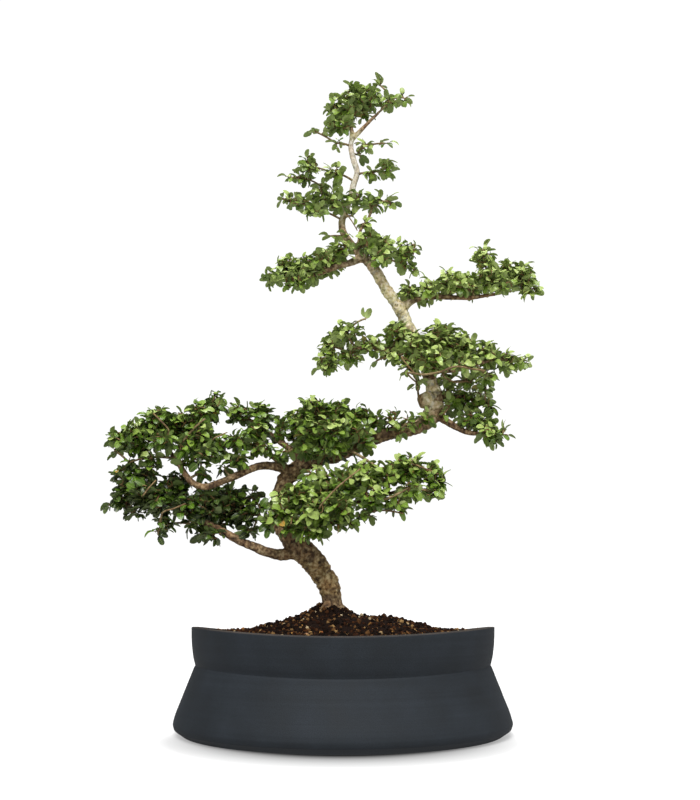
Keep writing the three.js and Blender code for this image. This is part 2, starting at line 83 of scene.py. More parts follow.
# Pot: one body of dark grey stoneware, thrown and trimmed on a wheel and left matt, with a collar,
# a pinched waist and a flared skirt. Its rim dips at the front and further at the back.
rim_radius = 153 * mm
rim_height = 102 * mm
rim_wave = 10 * mm
rim_lean = 5 * mm
wave_start = 20 * mm
wave_full = 80 * mm
pot_segments = 144
longest_step = 7 * mm
trim_marks = 0.16 * mm
trim_pitch = 2.6 * mm
trim_patches = 9
drain_radius = 11 * mm
drain_offset = 62 * mm
drill_length = 40 * mm
drill_sides = 48
wear_band = 0.8 * mm
wear_colour = "4a3f35"
clay_roughness = 0.62
clay_dullness = (0.64, 0.84)
clay_shine = 0.3
clay_clouds = 26
wheel_rings = 300
ring_stretch = (0.01, 0.01, 1)
ring_strength = 0.35
sand_grains = 1500
sand_strength = 0.5
clay_relief = 0.12 * mm

# The clay's colours, then what the rings and the sand leave of them: a place on a pattern and a shade
clay_tones = [(0.3, "1e2328"), (0.5, "22282e"), (0.72, "282e35")]
ring_tones = [(0.3, (0.55, 0.55, 0.56, 1)), (0.7, 1)]
sand_tones = [(0.35, 0.5), (0.6, 1)]

# Radius, height and length of the rounding at each corner, up the outside, over the rim and down the inside
pot_corners = [
    (0, 0, 0), (158.5, 0, 1), (166.8, 5.6, 0.7), (168.5, 10, 3.5), (166.3, 19, 9), (149.2, 63.2, 0.6),
    (148, 64.8, 0.4), (150.2, 72, 4), (152.3, 86, 6), (153, 101.4, 1), (152.2, 102.2, 0.6),
    (146.2, 102.2, 1.4), (145.3, 100, 1.8), (143.5, 80, 8), (140.5, 62.5, 8), (161, 19, 8), (152, 8.2, 6),
    (0, 8, 0),
]


def colour(shade):
    """A shader colour from a grey's strength or from a painter's code of three two-digit shades"""
    if isinstance(shade, (int, float)):
        return (shade, shade, shade, 1)
    if isinstance(shade, str):
        parts = [int(shade[i:i + 2], 16) / 255 for i in (0, 2, 4)]
        return (*[s / 12.92 if s < 0.04045 else ((s + 0.055) / 1.055) ** 2.4 for s in parts], 1)
    return shade


def smoothstep(low, high, value):
    t = min(1, max(0, (value - low) / (high - low)))
    return t * t * (3 - 2 * t)


def feed(tree, node, inputs):
    """Give each of these inputs a value or another node's output"""
    for socket, value in inputs.items():
        if isinstance(value, bpy.types.NodeSocket):
            tree.links.new(value, node.inputs[socket])
        else:
            node.inputs[socket].default_value = value


def add_node(tree, kind, inputs=None, **settings):
    """A node with its options set and its inputs fed"""
    node = tree.nodes.new(kind)
    for name, value in settings.items():
        setattr(node, name, value)
    feed(tree, node, inputs or {})
    return node


def fetch(tree, kind, inputs=None, **settings):
    """The first output of a new node"""
    return add_node(tree, kind, inputs, **settings).outputs[0]


def maths(tree, operation, *values):
    return fetch(tree, "ShaderNodeMath", dict(enumerate(values)), operation=operation)


def vector_maths(tree, operation, *values):
    node = add_node(tree, "ShaderNodeVectorMath", dict(enumerate(values)), operation=operation)
    return node.outputs["Value" if operation in ("LENGTH", "DISTANCE") else "Vector"]


def between(tree, value, low, high, start=0.0, end=1.0):
    """A value from its start to its end carried over to the range from low to high"""
    inputs = {"Value": value, "From Min": start, "From Max": end, "To Min": low, "To Max": high}
    return add_node(tree, "ShaderNodeMapRange", inputs).outputs["Result"]


def mark(tree, name):
    """A value that the mesh carries for its material"""
    return add_node(tree, "ShaderNodeAttribute", attribute_name=name).outputs["Fac"]


def new_material(name, roughness, shine=0.5):
    """A material with one shader, and the place on the piece that its patterns read"""
    material = bpy.data.materials.new(name)
    material.use_nodes = True
    tree = material.node_tree
    shader = tree.nodes["Principled BSDF"]
    feed(tree, shader, {"Roughness": roughness, "Specular IOR Level": shine})
    place = add_node(tree, "ShaderNodeTexCoord").outputs["Object"]
    return material, tree, shader, place


def grain(tree, place, scale, detail=3.0, stretch=(1, 1, 1)):
    """A cloudy pattern with so many blotches a metre, which may be drawn out along an axis"""
    mapped = fetch(tree, "ShaderNodeMapping", {"Vector": place, "Scale": stretch})
    inputs = {"Vector": mapped, "Scale": scale, "Detail": detail}
    return add_node(tree, "ShaderNodeTexNoise", inputs).outputs["Fac"]


def ramp(tree, value, stops):
    """Colours along a value: each stop is a place and a colour"""
    node = add_node(tree, "ShaderNodeValToRGB", {"Fac": value})
    for i, (place, shade) in enumerate(stops):
        if i > 1:
            node.color_ramp.elements.new(place)
        node.color_ramp.elements[i].position = place
        node.color_ramp.elements[i].color = colour(shade)
    return node.outputs["Color"]


def blend(tree, amount, under, over, mode="MIX"):
    """One colour laid over another"""
    inputs = {0: amount, 6: colour(under), 7: colour(over)}
    return add_node(tree, "ShaderNodeMix", inputs, data_type="RGBA", blend_type=mode).outputs[2]


def mottle(tree, amount, under, pattern, stops):
    """A colour darkened where a pattern is dark"""
    return blend(tree, amount, under, ramp(tree, pattern, stops), "MULTIPLY")


def relief(tree, shader, height, depth):
    """Fine bumps of a depth in metres"""
    bump = add_node(tree, "ShaderNodeBump", {"Height": height, "Distance": depth, "Strength": 1.0})
    feed(tree, shader, {"Normal": bump.outputs["Normal"]})


def rounded(corners, steps=4):
    """The outline in metres with each corner turned to a curve, and no long bare stretch"""
    turned_points = []
    for before, (radius, height, reach), after in zip(corners, corners[1:], corners[2:]):
        corner = Vector((radius, height))
        sides = [Vector(other[:2]) - corner for other in (before, after)]
        reach = min(reach, *[0.5 * side.length for side in sides])
        ends = [corner + side.normalized() * reach for side in sides]
        for step in range(steps + 1):
            t = step / steps
            turned_points.append(ends[0] * (1 - t) ** 2 + corner * 2 * t * (1 - t) + ends[1] * t ** 2)
    points = [Vector(corners[0][:2]), *turned_points, Vector(corners[-1][:2])]
    outline = []
    for start, end in zip(points, points[1:]):
        pieces = max(1, math.ceil((end - start).length * mm / longest_step))
        outline += [start.lerp(end, i / pieces) * mm for i in range(pieces)]
    return outline + [points[-1] * mm]


def turn(name, outline, segments):
    """A closed mesh turned about Z from an outline that starts and ends on the axis"""
    places = [(0, 0, outline[0].y)]
    for radius, height in outline[1:-1]:
        for i in range(segments):
            angle = 2 * math.pi * i / segments
            places.append((radius * math.cos(angle), radius * math.sin(angle), height))
    places.append((0, 0, outline[-1].y))
    rings = len(outline) - 2
    around = [(i, (i + 1) % segments) for i in range(segments)]
    faces = [(0, 1 + j, 1 + i) for i, j in around]
    for ring in range(rings - 1):
        low = 1 + ring * segments
        high = low + segments
        faces += [(low + i, low + j, high + j, high + i) for i, j in around]
    last = 1 + (rings - 1) * segments
    faces += [(last + i, last + j, len(places) - 1) for i, j in around]
    mesh = bpy.data.meshes.new(name)
    mesh.from_pydata(places, [], faces)
    return add_to_scene(name, mesh)


def waved(y, z):
    """The height of a point once the collar and the waist dip towards the front and, further, the back"""
    from_middle = y / rim_radius
    return z - (rim_wave * from_middle + rim_lean) * from_middle * smoothstep(wave_start, wave_full, z)


def make_real(piece):
    """Turn a piece and its modifiers to a plain mesh"""
    graph = bpy.context.evaluated_depsgraph_get()
    shaped = piece.evaluated_get(graph)
    mesh = bpy.data.meshes.new_from_object(shaped, preserve_all_data_layers=True, depsgraph=graph)
    piece.modifiers.clear()
    piece.data = mesh


def finish_piece(piece, slot, *nodes):
    """Make a piece real, let it ride on the body and hide the solids of the frame it stands for"""
    make_real(piece)
    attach(piece, "root")
    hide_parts(*nodes)


def make_stoneware():
    """Matt dark clay with a fine sandy grain and faint rings from the wheel, worn brown along the rim"""
    material, tree, shader, place = new_material("matt stoneware", clay_roughness, clay_shine)
    clouds = grain(tree, place, clay_clouds, 4)
    rings = grain(tree, place, wheel_rings, 2, ring_stretch)
    sand = grain(tree, place, sand_grains, 2)
    ringed = mottle(tree, ring_strength, ramp(tree, clouds, clay_tones), rings, ring_tones)
    speckled = mottle(tree, sand_strength, ringed, sand, sand_tones)
    worn = maths(tree, "MULTIPLY", mark(tree, "rim_wear"), clouds)
    feed(tree, shader, {
        "Base Color": blend(tree, worn, speckled, wear_colour),
        "Roughness": between(tree, clouds, *clay_dullness),
    })
    relief(tree, shader, maths(tree, "ADD", rings, sand), clay_relief)
    return material


pot = turn("pot_body", rounded(pot_corners), pot_segments)
wear_marks = pot.data.attributes.new("rim_wear", "FLOAT", "POINT")
for point, wear in zip(pot.data.vertices, wear_marks.data):
    x, y, z = point.co
    marks = noise.noise((x * trim_patches, y * trim_patches, z / trim_pitch))
    trimmed = 1 + trim_marks / rim_radius * marks
    wear.value = smoothstep(rim_height - wear_band, rim_height, z)
    point.co = (x * trimmed, y * trimmed, waved(y, z))
for side in (-1, 1):
    bpy.ops.mesh.primitive_cylinder_add(vertices=drill_sides, radius=drain_radius, depth=drill_length)
    hole = bpy.context.object
    hole.data.transform(Matrix.Translation((side * drain_offset, 0, 0)))
    cut = pot.modifiers.new("drainage hole", "BOOLEAN")
    cut.object = hole
    cut.operation = "DIFFERENCE"
    cut.solver = "EXACT"
pot.data.materials.append(make_stoneware())
pot.data.shade_smooth()
finish_piece(pot, "pot", "pot")
for hole in [o for o in bpy.data.objects if o.name.startswith("Cylinder")]:
    bpy.data.objects.remove(hole)


# Drainage screens: two squares of black plastic mesh, each moulded in one piece. They lie loose over
# the holes in the pot's floor, under the soil, and keep it from washing out.
screen_side = 36 * mm
screen_thickness = 1.2 * mm
screen_bars = 12
screen_bar_width = 1 * mm
screen_height = 8.9 * mm
plastic_roughness = 0.55
dust_spots = 240
dust_relief = 0.1 * mm
plastic_tones = [(0.45, "17191b"), (0.8, "3a3028")]


def node_tree(name, sockets):
    """A geometry node tree with named inputs and one output; gives the tree, its inputs and its end"""
    tree = bpy.data.node_groups.new(name, "GeometryNodeTree")
    for title, kind in sockets.items():
        tree.interface.new_socket(title, in_out="INPUT", socket_type="NodeSocket" + kind)
    tree.interface.new_socket("Result", in_out="OUTPUT", socket_type="NodeSocketGeometry")
    start = tree.nodes.new("NodeGroupInput")
    end = tree.nodes.new("NodeGroupOutput")
    return tree, start.outputs, end.inputs["Result"]


def close_tree(tree, instances, material, end, smooth=True):
    """Make the instances real, shade them and give them their material"""
    real = fetch(tree, "GeometryNodeRealizeInstances", {"Geometry": instances})
    shaded = fetch(tree, "GeometryNodeSetShadeSmooth", {"Geometry": real, "Shade Smooth": smooth})
    dressed = fetch(tree, "GeometryNodeSetMaterial", {"Geometry": shaded, "Material": material})
    tree.links.new(dressed, end)


def use_tree(piece, tree, values):
    """Put a geometry node tree on a piece, with its inputs set by name through their identifiers"""
    modifier = piece.modifiers.new(tree.name, "NODES")
    modifier.node_group = tree
    for socket in tree.interface.items_tree:
        if socket.in_out == "INPUT" and socket.name in values:
            modifier[socket.identifier] = values[socket.name]


def make_black_plastic():
    """Dull black plastic, dusty with soil"""
    material, tree, shader, place = new_material("black plastic mesh", plastic_roughness)
    dust = grain(tree, place, dust_spots, 4)
    feed(tree, shader, {"Base Color": ramp(tree, dust, plastic_tones)})
    relief(tree, shader, dust, dust_relief)
    return material


def make_mesh_tree():
    """Rows of bars each way, from a square's side and the number of its bars"""
    tree, given, end = node_tree("plastic mesh", {
        "Centre": "Vector", "Side": "Float", "Thickness": "Float", "Bar width": "Float", "Bars": "Int",
        "Material": "Material",
    })
    span = maths(tree, "SUBTRACT", given["Side"], given["Bar width"])
    pitch = maths(tree, "DIVIDE", span, maths(tree, "SUBTRACT", given["Bars"], 1.0))
    first = maths(tree, "MULTIPLY", span, -0.5)
    rows = []
    for axis, along in (("X", "Y"), ("Y", "X")):
        start = fetch(tree, "ShaderNodeCombineXYZ", {axis: first})
        line = fetch(tree, "GeometryNodeMeshLine", {
            "Count": given["Bars"], "Start Location": vector_maths(tree, "ADD", start, given["Centre"]),
            "Offset": fetch(tree, "ShaderNodeCombineXYZ", {axis: pitch}),
        })
        size = fetch(tree, "ShaderNodeCombineXYZ", {
            axis: given["Bar width"], along: given["Side"], "Z": given["Thickness"],
        })
        bar = fetch(tree, "GeometryNodeMeshCube", {"Size": size})
        rows.append(fetch(tree, "GeometryNodeInstanceOnPoints", {"Points": line, "Instance": bar}))
    joined = tree.nodes.new("GeometryNodeJoinGeometry")
    for row in rows:
        tree.links.new(row, joined.inputs[0])
    close_tree(tree, joined.outputs[0], given["Material"], end, smooth=False)
    return tree


mesh_tree = make_mesh_tree()
black_plastic = make_black_plastic()
for side, name in ((-1, "drain_screen_left"), (1, "drain_screen_right")):
    screen = add_to_scene(name.replace("screen", "mesh"), bpy.data.meshes.new(name))
    use_tree(screen, mesh_tree, {
        "Centre": (side * drain_offset, 0, screen_height), "Side": screen_side,
        "Thickness": screen_thickness, "Bar width": screen_bar_width, "Bars": screen_bars,
        "Material": black_plastic,
    })
    finish_piece(screen, "screen", name)


# Soil: a dark, coarse potting mix of peat and bark crumbs with bits of pale pumice and a few orange chips.
# It fills the pot to just under the rim, is heaped up round the trunk, and is strewn with loose crumbs.
soil_edge_drop = 4 * mm
mound_height = 13.5 * mm
mound_inner = 38 * mm
mound_outer = 113 * mm
mound_centre = Vector((1 * mm, 0))
heap_height = 16 * mm
heap_radius = 21 * mm
heap_centre = Vector((-15 * mm, 0))
soil_ring_step = 2.6 * mm
settled_edge = 5 * mm
lump_height = 1.8 * mm
lump_size = 9 * mm
soil_wall = [(0, 9.8), (150.5, 9.8), (160, 19), (139.6, 62.5), (142.6, 80), (144.4, 99)]
wall_reach = 144
earth_roughness = 0.95
earth_shine = 0.12
earth_grains = 420
grain_strength = 0.75
earth_relief = 0.7 * mm
crumb_unevenness = (0.72, 1.15)
small_crumbs_power = 2.5
whole_turn = 6.28

# Colours: the bed under the crumbs, the crumbs and the chips by their own tone, and the grain's shade
bed_tones = [(0, "1c0f08"), (1, "1c0f08")]
crumb_tones = [
    (0, "070301"), (0.3, "190c05"), (0.58, "2f180b"), (0.78, "4a2c16"), (0.91, "70512f"), (0.97, "a08052"),
    (0.995, "cbbb98"), (1, "a45a22"),
]
chip_tones = [(0, "4c2e18"), (0.5, "86603a"), (0.88, "b98a4a"), (1, "c8752f")]
grain_tones = [(0.3, (0.25, 0.22, 0.2, 1)), (0.66, 1)]

# The loose bits' shapes: how many, how finely cut, how they are squeezed, and their first seed
crumb_shapes = {
    "crumb": (5, 1, (1, 0.85, 0.75), 0),
    "lump": (5, 2, (1, 0.8, 0.7), 20),
    "chip": (4, 1, (1, 0.45, 0.22), 40),
}


def soil_height(x, y):
    """The soil's level before its lumps"""
    place = Vector((x, y))
    mound = mound_height * (1 - smoothstep(mound_inner, mound_outer, (place - mound_centre).length))
    heap = heap_height * math.exp(-((place - heap_centre).length / heap_radius) ** 2)
    return waved(y, rim_height) - soil_edge_drop + mound + heap


def make_soil_bed():
    """The soil down to the pot's floor, with its top in rings marked by a height of 1 until it is shaped"""
    wall = [Vector(point) * mm for point in soil_wall]
    edge = wall[-1].x
    rings = int(edge / soil_ring_step)
    top = [Vector((edge * (1 - i / rings), 1)) for i in range(rings + 1)]
    bed = turn("soil_bed", wall[:-1] + top, pot_segments)
    for point in bed.data.vertices:
        x, y, z = point.co
        if z < 1:
            point.co.z = waved(y, z)
            continue
        settled = 1 - smoothstep(edge - settled_edge, edge, Vector((x, y)).length)
        lumps = noise.fractal((x / lump_size, y / lump_size, 0), 0.9, 2.1, 4)
        point.co.z = soil_height(x, y) + lump_height * lumps * settled
    bed.data.shade_smooth()
    return bed


def make_soil_material(name, tones):
    """Crumbly earth whose shade comes from each crumb's own tone"""
    material, tree, shader, place = new_material(name, earth_roughness, earth_shine)
    shade = ramp(tree, mark(tree, "tone"), tones)
    crumbs = grain(tree, place, earth_grains, 6)
    feed(tree, shader, {"Base Color": mottle(tree, grain_strength, shade, crumbs, grain_tones)})
    relief(tree, shader, crumbs, earth_relief)
    return material


def make_crumb(name, divisions, squeeze, seed):
    """A lump one metre across, to be strewn at its real size"""
    shaper = bmesh.new()
    bmesh.ops.create_icosphere(shaper, subdivisions=divisions, radius=0.5)
    draw = random.Random(seed)
    for point in shaper.verts:
        point.co *= draw.uniform(*crumb_unevenness)
        point.co = [part * share for part, share in zip(point.co, squeeze)]
    mesh = bpy.data.meshes.new(name)
    shaper.to_mesh(mesh)
    shaper.free()
    return bpy.data.objects.new(name, mesh)


def chance(tree, seed, low=0.0, high=1.0):
    """A number drawn for each point or instance"""
    return add_node(tree, "FunctionNodeRandomValue", {2: low, 3: high, "Seed": seed}).outputs[1]


def pick_and_place(tree, points, collection, seed, rotation, size):
    """One of a collection's shapes on each point, drawn by chance"""
    shapes = fetch(tree, "GeometryNodeCollectionInfo", {
        "Collection": collection, "Separate Children": True, "Reset Children": True,
    })
    pick = add_node(tree, "FunctionNodeRandomValue", {4: 0, 5: 50, "Seed": seed}, data_type="INT")
    return fetch(tree, "GeometryNodeInstanceOnPoints", {
        "Points": points, "Instance": shapes, "Pick Instance": True, "Instance Index": pick.outputs[2],
        "Rotation": rotation, "Scale": size,
    })


def store_tone(tree, instances, tone):
    """The instances, each with its tone kept for the material"""
    inputs = {"Geometry": instances, "Name": "tone", "Value": tone}
    return fetch(tree, "GeometryNodeStoreNamedAttribute", inputs, data_type="FLOAT", domain="INSTANCE")


def make_strewing_tree():
    """Loose bits strewn over the upper side of a piece, each with its own size, turn and tone"""
    tree, given, end = node_tree("strewn crumbs", {
        "Bed": "Geometry", "Bits": "Collection", "Density": "Float", "Smallest": "Float",
        "Largest": "Float", "Reach": "Float", "Lift": "Float", "Seed": "Int", "Material": "Material",
    })
    normal = fetch(tree, "GeometryNodeInputNormal")
    upward = add_node(tree, "ShaderNodeSeparateXYZ", {0: normal}).outputs["Z"]
    level = vector_maths(tree, "MULTIPLY", fetch(tree, "GeometryNodeInputPosition"), (1, 1, 0))
    from_middle = vector_maths(tree, "LENGTH", level)
    faces_up = fetch(tree, "FunctionNodeCompare", {"A": upward, "B": 0.5}, operation="GREATER_THAN")
    limits = {"A": from_middle, "B": given["Reach"]}
    inside = fetch(tree, "FunctionNodeCompare", limits, operation="LESS_THAN")
    chosen = fetch(tree, "FunctionNodeBooleanMath", {0: faces_up, 1: inside}, operation="AND")
    strewn = fetch(tree, "GeometryNodeDistributePointsOnFaces", {
        "Mesh": given["Bed"], "Selection": chosen, "Density": given["Density"], "Seed": given["Seed"],
    })
    rare = maths(tree, "POWER", chance(tree, given["Seed"]), small_crumbs_power)
    size = between(tree, rare, given["Smallest"], given["Largest"])
    turns = {0: (0, 0, 0), 1: (whole_turn, whole_turn, whole_turn), "Seed": 3}
    turned = fetch(tree, "FunctionNodeRandomValue", turns, data_type="FLOAT_VECTOR")
    placed = pick_and_place(tree, strewn, given["Bits"], 4, turned, size)
    lift = fetch(tree, "ShaderNodeCombineXYZ", {"Z": given["Lift"]})
    lifted = fetch(tree, "GeometryNodeTranslateInstances", {
        "Instances": placed, "Translation": lift, "Local Space": False,
    })
    close_tree(tree, store_tone(tree, lifted, chance(tree, 5)), given["Material"], end)
    return tree


def collect(name, made):
    """Shapes kept apart from the scene, for a tree to place"""
    collection = bpy.data.collections.new(name)
    for shape in made:
        collection.objects.link(shape)
    return collection


def discard(collection):
    for shape in list(collection.objects):
        bpy.data.objects.remove(shape)
    bpy.data.collections.remove(collection)


soil_bed = make_soil_bed()
soil_bed.data.materials.append(make_soil_material("moist earth", bed_tones))
crumb_earth = make_soil_material("peat and bark crumbs", crumb_tones)
chip_bark = make_soil_material("bark chips", chip_tones)
strewing_tree = make_strewing_tree()

# Each layer: shapes, material, bits per square metre, smallest, largest and lift in millimetres, and seed
strewings = [
    ("soil_crumbs", "crumb", crumb_earth, 52000, 2.4, 5.4, 0, 11),
    ("soil_lumps", "lump", crumb_earth, 9000, 4.2, 8.2, -0.2, 12),
    ("soil_chips", "chip", chip_bark, 700, 4, 9, 1, 13),
]
for name, shape, material, density, smallest, largest, lift, seed in strewings:
    count, divisions, squeeze, first_seed = crumb_shapes[shape]
    bits = collect(name, [
        make_crumb("%s_%d" % (shape, i), divisions, squeeze, first_seed + i) for i in range(count)
    ])
    layer = add_to_scene(name, soil_bed.data.copy())
    use_tree(layer, strewing_tree, {
        "Bits": bits, "Density": density, "Smallest": smallest * mm, "Largest": largest * mm,
        "Reach": (wall_reach - largest / 2) * mm, "Lift": lift * mm, "Seed": seed, "Material": material,
    })
    finish_piece(layer, "soil", "soil")
    discard(bits)
finish_piece(soil_bed, "soil", "soil")


# Tree: one grown piece of wood, the trunk wired into an S with its limbs left and right and its roots
# gripping the soil. The bark is rough and brown at the foot, mottled and pale higher up, and nearly white
# in the last stretch below the crown.
limb_step = 2.5
limb_sides = 20
wood_voxel = 1.4 * mm
eased_rounds = 4
knob_depth = 0.1
knob_size = 26
burl_size = 12 * mm
wrinkle_width = 13 * mm
wrinkle_height = 4.4 * mm
bark_flake = 2.6 * mm
trunk_foot = -10
root_course = [(0, 124, 1), (0.5, 117, 0.85), (0.85, 109, 0.6), (1.1, 100, 0.3)]

# Direction in degrees, length, thickness and rise of each root; only the one in front on the left shows
roots = [(12, 26, 5.5, 0), (92, 24, 5.5, 0), (168, 26, 5.5, 0), (236, 25, 6, 4.5), (305, 24, 5.5, 0)]

# Old cuts that healed to a ring round a hollow: place and radius, in millimetres
scars = [(-39, -12, 178, 3.6), (-54, -8, 174, 3), (-70, 0, 226, 3), (91, -5, 352, 3.2), (57, -7, 441, 2.6)]

# Radii between which wood grows old, and between which it is a slim limb. Heights in metres at which the
# trunk's bark stops being like its foot's, turns pale, is partly brown again and no more, turns white,
# and is no longer pale, in the crown
old_girths = (2 * mm, 10 * mm)
slim_girths = (8 * mm, 5 * mm)
foot_ends = (0.16, 0.18)
pale_starts = (0.3, 0.35)
brown_starts = (0.46, 0.49)
brown_ends = (0.53, 0.55)
white_starts = (0.54, 0.57)
pale_ends = (0.63, 0.65)
brown_share = 0.75
upper_slimness = 0.75

# The trunk's radius and taper above its bend, and the share of it from which wood counts as trunk
trunk_radius = 8.2 * mm
taper_start = 0.32
trunk_taper = 0.0194
trunk_share = (0.6, 0.9)

# The middle of the old stump at the trunk's upper bend, and how far round it the bark has stayed brown
stump_middle = Vector((76, -3, 336)) * mm
stump_reach = (7 * mm, 14 * mm)

# Height in millimetres of burls and rings on old wood, of flakes on any wood and what age adds to them,
# and of a scar's rim and hollow
burl_height = 1.5
ring_height = 1.3
flake_heights = (0.15, 0.2)
scar_ridge = 0.9
scar_hollow = 1.2

# In radii from a scar's middle: where its rim stands and how wide, where its hollow ends, and where its
# ring of painted shade on the hollow's wall lies and how wide
scar_rim_at = (1.1, 0.35)
scar_hollow_ends = (0.35, 0.9)
scar_shade_ring_at = (0.62, 0.2)

# How deep wrinkles are where they are painted dark, the bark's own darker creases with painted shade in
# them, the flakes' part in it, and how much of it shows on young wood and what age adds
crease_shade_depths = (-0.02, -0.42)
crease_shade_flakes = 0.35
crease_shade_shares = (0.35, 0.65)

bark_roughness = 0.85
bark_patches = 95
bark_flakes = 290
lichen_strength = 0.55
# The creases' own darker bark with painted shade over it: how strong it is and its colour
crease_shade_strength = 0.68
crease_shade_colour = "26100a"
bark_relief = 0.8 * mm

# Colours of each kind of bark from its darkest flakes to its palest, and the tint of its lichen patches
old_bark = [(0.3, "40301a"), (0.38, "866a42"), (0.5, "ac9060"), (0.66, "dcc898")]
pale_bark = [(0.26, "857a48"), (0.38, "d2c690"), (0.5, "f0e5ba"), (0.68, "fffae6")]
limb_bark = [(0.32, "3a2a1a"), (0.44, "6a5238"), (0.56, "957a58"), (0.7, "c6b189")]
white_bark = [(0.28, "8f876f"), (0.42, "cfc8b4"), (0.6, "f4efe4")]
lichen_tints = [(0.34, "8a8450"), (0.47, 1), (0.6, (1, 0.83, 0.72, 1))]

# The middle line of each limb: x, y, z and radius, in millimetres
limbs = {
    "trunk": [
        (-9, 0, 84, 9), (-10, 0, 105, 11), (-11, 0, 124, 10.3), (-15, 0, 142, 11), (-22, -1, 155, 11.8),
        (-34, -1, 171, 12.4), (-48, 0, 184, 11.8), (-59, 3, 198, 10.2), (-67, 8, 216, 9.2),
        (-68, 10, 232, 8.8), (-64, 9, 248, 8.5), (-54, 6, 261, 8.6), (-41, 3, 270, 8.2), (-23, 0, 275, 8),
        (-1, -3, 281, 7.8), (20, -5, 290, 7.6), (41, -6, 299, 7.6), (62, -5, 304, 7.6), (80, -3, 309, 8),
        (93, 0, 319, 9), (98, 3, 333, 9), (98, 5, 346, 8.2), (94, 6, 360, 7.3), (89, 6, 376, 7),
        (82, 5, 395, 6.8), (73, 3, 415, 6.7), (64, 0, 433, 6.7), (55, -2, 448, 6.5), (46, -4, 461, 6.2),
        (38, -5, 475, 6), (30, -5, 488, 5.9), (19, -4, 500, 5.6), (8, -2, 512, 4.7), (0, 0, 526, 4.2),
        (-2, 2, 540, 3.9), (3, 4, 556, 3.6), (8, 4, 571, 3.5), (11, 3, 585, 3.6), (15, 1, 598, 3.5),
        (11, -1, 612, 3.3), (8, -2, 626, 3), (9, -2, 640, 2.7), (8, 0, 655, 2.2), (4, 2, 673, 1.7),
    ],
    "low left": [
        (-42, -1, 181, 8), (-61, -6, 175, 6), (-77, -10, 177, 5.2), (-93, -13, 183, 4.7),
        (-109, -15, 190, 4.3), (-124, -16, 198, 4), (-140, -16, 206, 3.6), (-155, -15, 213, 3.1),
        (-171, -13, 221, 2.6), (-188, -10, 229, 2.1), (-205, -8, 238, 1.7),
    ],
    "middle left": [
        (-54, 4, 262, 6), (-71, -4, 266, 4.6), (-85, -11, 266, 4.3), (-97, -18, 261, 4),
        (-110, -24, 254, 3.9), (-125, -28, 247, 3.7), (-140, -30, 242, 3.5), (-152, -30, 245, 3.4),
        (-160, -28, 253, 3.2), (-167, -25, 263, 3), (-175, -21, 274, 2.7), (-185, -17, 284, 2.2),
        (-200, -13, 293, 1.7),
    ],
    "high left": [
        (-41, 2, 270, 5.4), (-54, 6, 284, 3.8), (-67, 10, 294, 3.4), (-79, 13, 304, 3),
        (-90, 15, 314, 2.5), (-103, 15, 319, 2.1), (-118, 13, 319, 1.7),
    ],
    "front right": [
        (-56, 2, 196, 6.4), (-44, -14, 204, 4.4), (-30, -26, 212, 3.9), (-11, -35, 218, 3.4),
        (9, -40, 224, 3), (29, -42, 229, 2.6), (48, -42, 234, 2.2), (66, -40, 240, 1.8),
    ],
    "front rise": [
        (-26, -1, 274, 5), (-29, -10, 283, 3.2), (-30, -18, 293, 2.6), (-26, -22, 305, 2),
        (-20, -22, 316, 1.6),
    ],
    "stump": [(96, 3, 340, 8.5), (87, 0, 338, 8.5), (81, -2, 336, 6.5)],
    "low right": [
        (96, 2, 325, 6.4), (107, -3, 316, 4.4), (118, -7, 308, 3.7), (129, -10, 302, 3.1),
        (141, -12, 300, 2.4), (154, -12, 304, 1.8),
    ],
    "low right rise": [(98, 3, 338, 5), (111, 8, 344, 3), (125, 13, 345, 2.2), (139, 15, 343, 1.6)],
    "middle right": [
        (92, 6, 366, 5), (101, -8, 368, 3.4), (114, -20, 366, 2.9), (130, -26, 367, 2.5),
        (143, -27, 372, 2.1), (158, -24, 376, 1.7),
    ],
    "middle left high": [
        (81, 5, 397, 5), (65, -6, 392, 3.2), (47, -14, 390, 2.8), (30, -18, 391, 2.4),
        (13, -18, 391, 1.9),
    ],
    "high right": [
        (62, 0, 436, 6), (71, -4, 445, 4.2), (85, -7, 450, 3.5), (102, -9, 450, 3.1),
        (119, -10, 449, 2.9), (137, -9, 449, 2.6), (154, -7, 452, 2.2), (172, -4, 456, 1.8),
        (188, -1, 460, 1.5),
    ],
    "high left third": [
        (21, -4, 497, 5.2), (7, -8, 489, 3.9), (-7, -11, 484, 3.5), (-22, -13, 477, 2.9),
        (-37, -14, 472, 2.2), (-53, -14, 469, 1.6),
    ],
    "second leader": [(17, -4, 502, 4), (17, -7, 515, 2.3), (19, -9, 527, 2), (27, -10, 538, 1.7)],
    "crown right": [(9, -2, 636, 3), (21, -3, 649, 2.4), (32, -3, 661, 2), (42, -2, 672, 1.6)],
}


def smooth_path(points, step):
    """Places and radii along a smooth curve through a limb's points"""
    path = []
    last = len(points) - 1
    for i in range(last):
        a, b, c, d = (Vector(points[min(max(j, 0), last)]) for j in (i - 1, i, i + 1, i + 2))
        pieces = max(1, round((c.xyz - b.xyz).length / step))
        for t in (k / pieces for k in range(pieces)):
            bend = (2 * a - 5 * b + 4 * c - d) * t * t + (3 * b - a - 3 * c + d) * t ** 3
            path.append((2 * b + (c - a) * t + bend) / 2)
    return path + [Vector(points[last])]


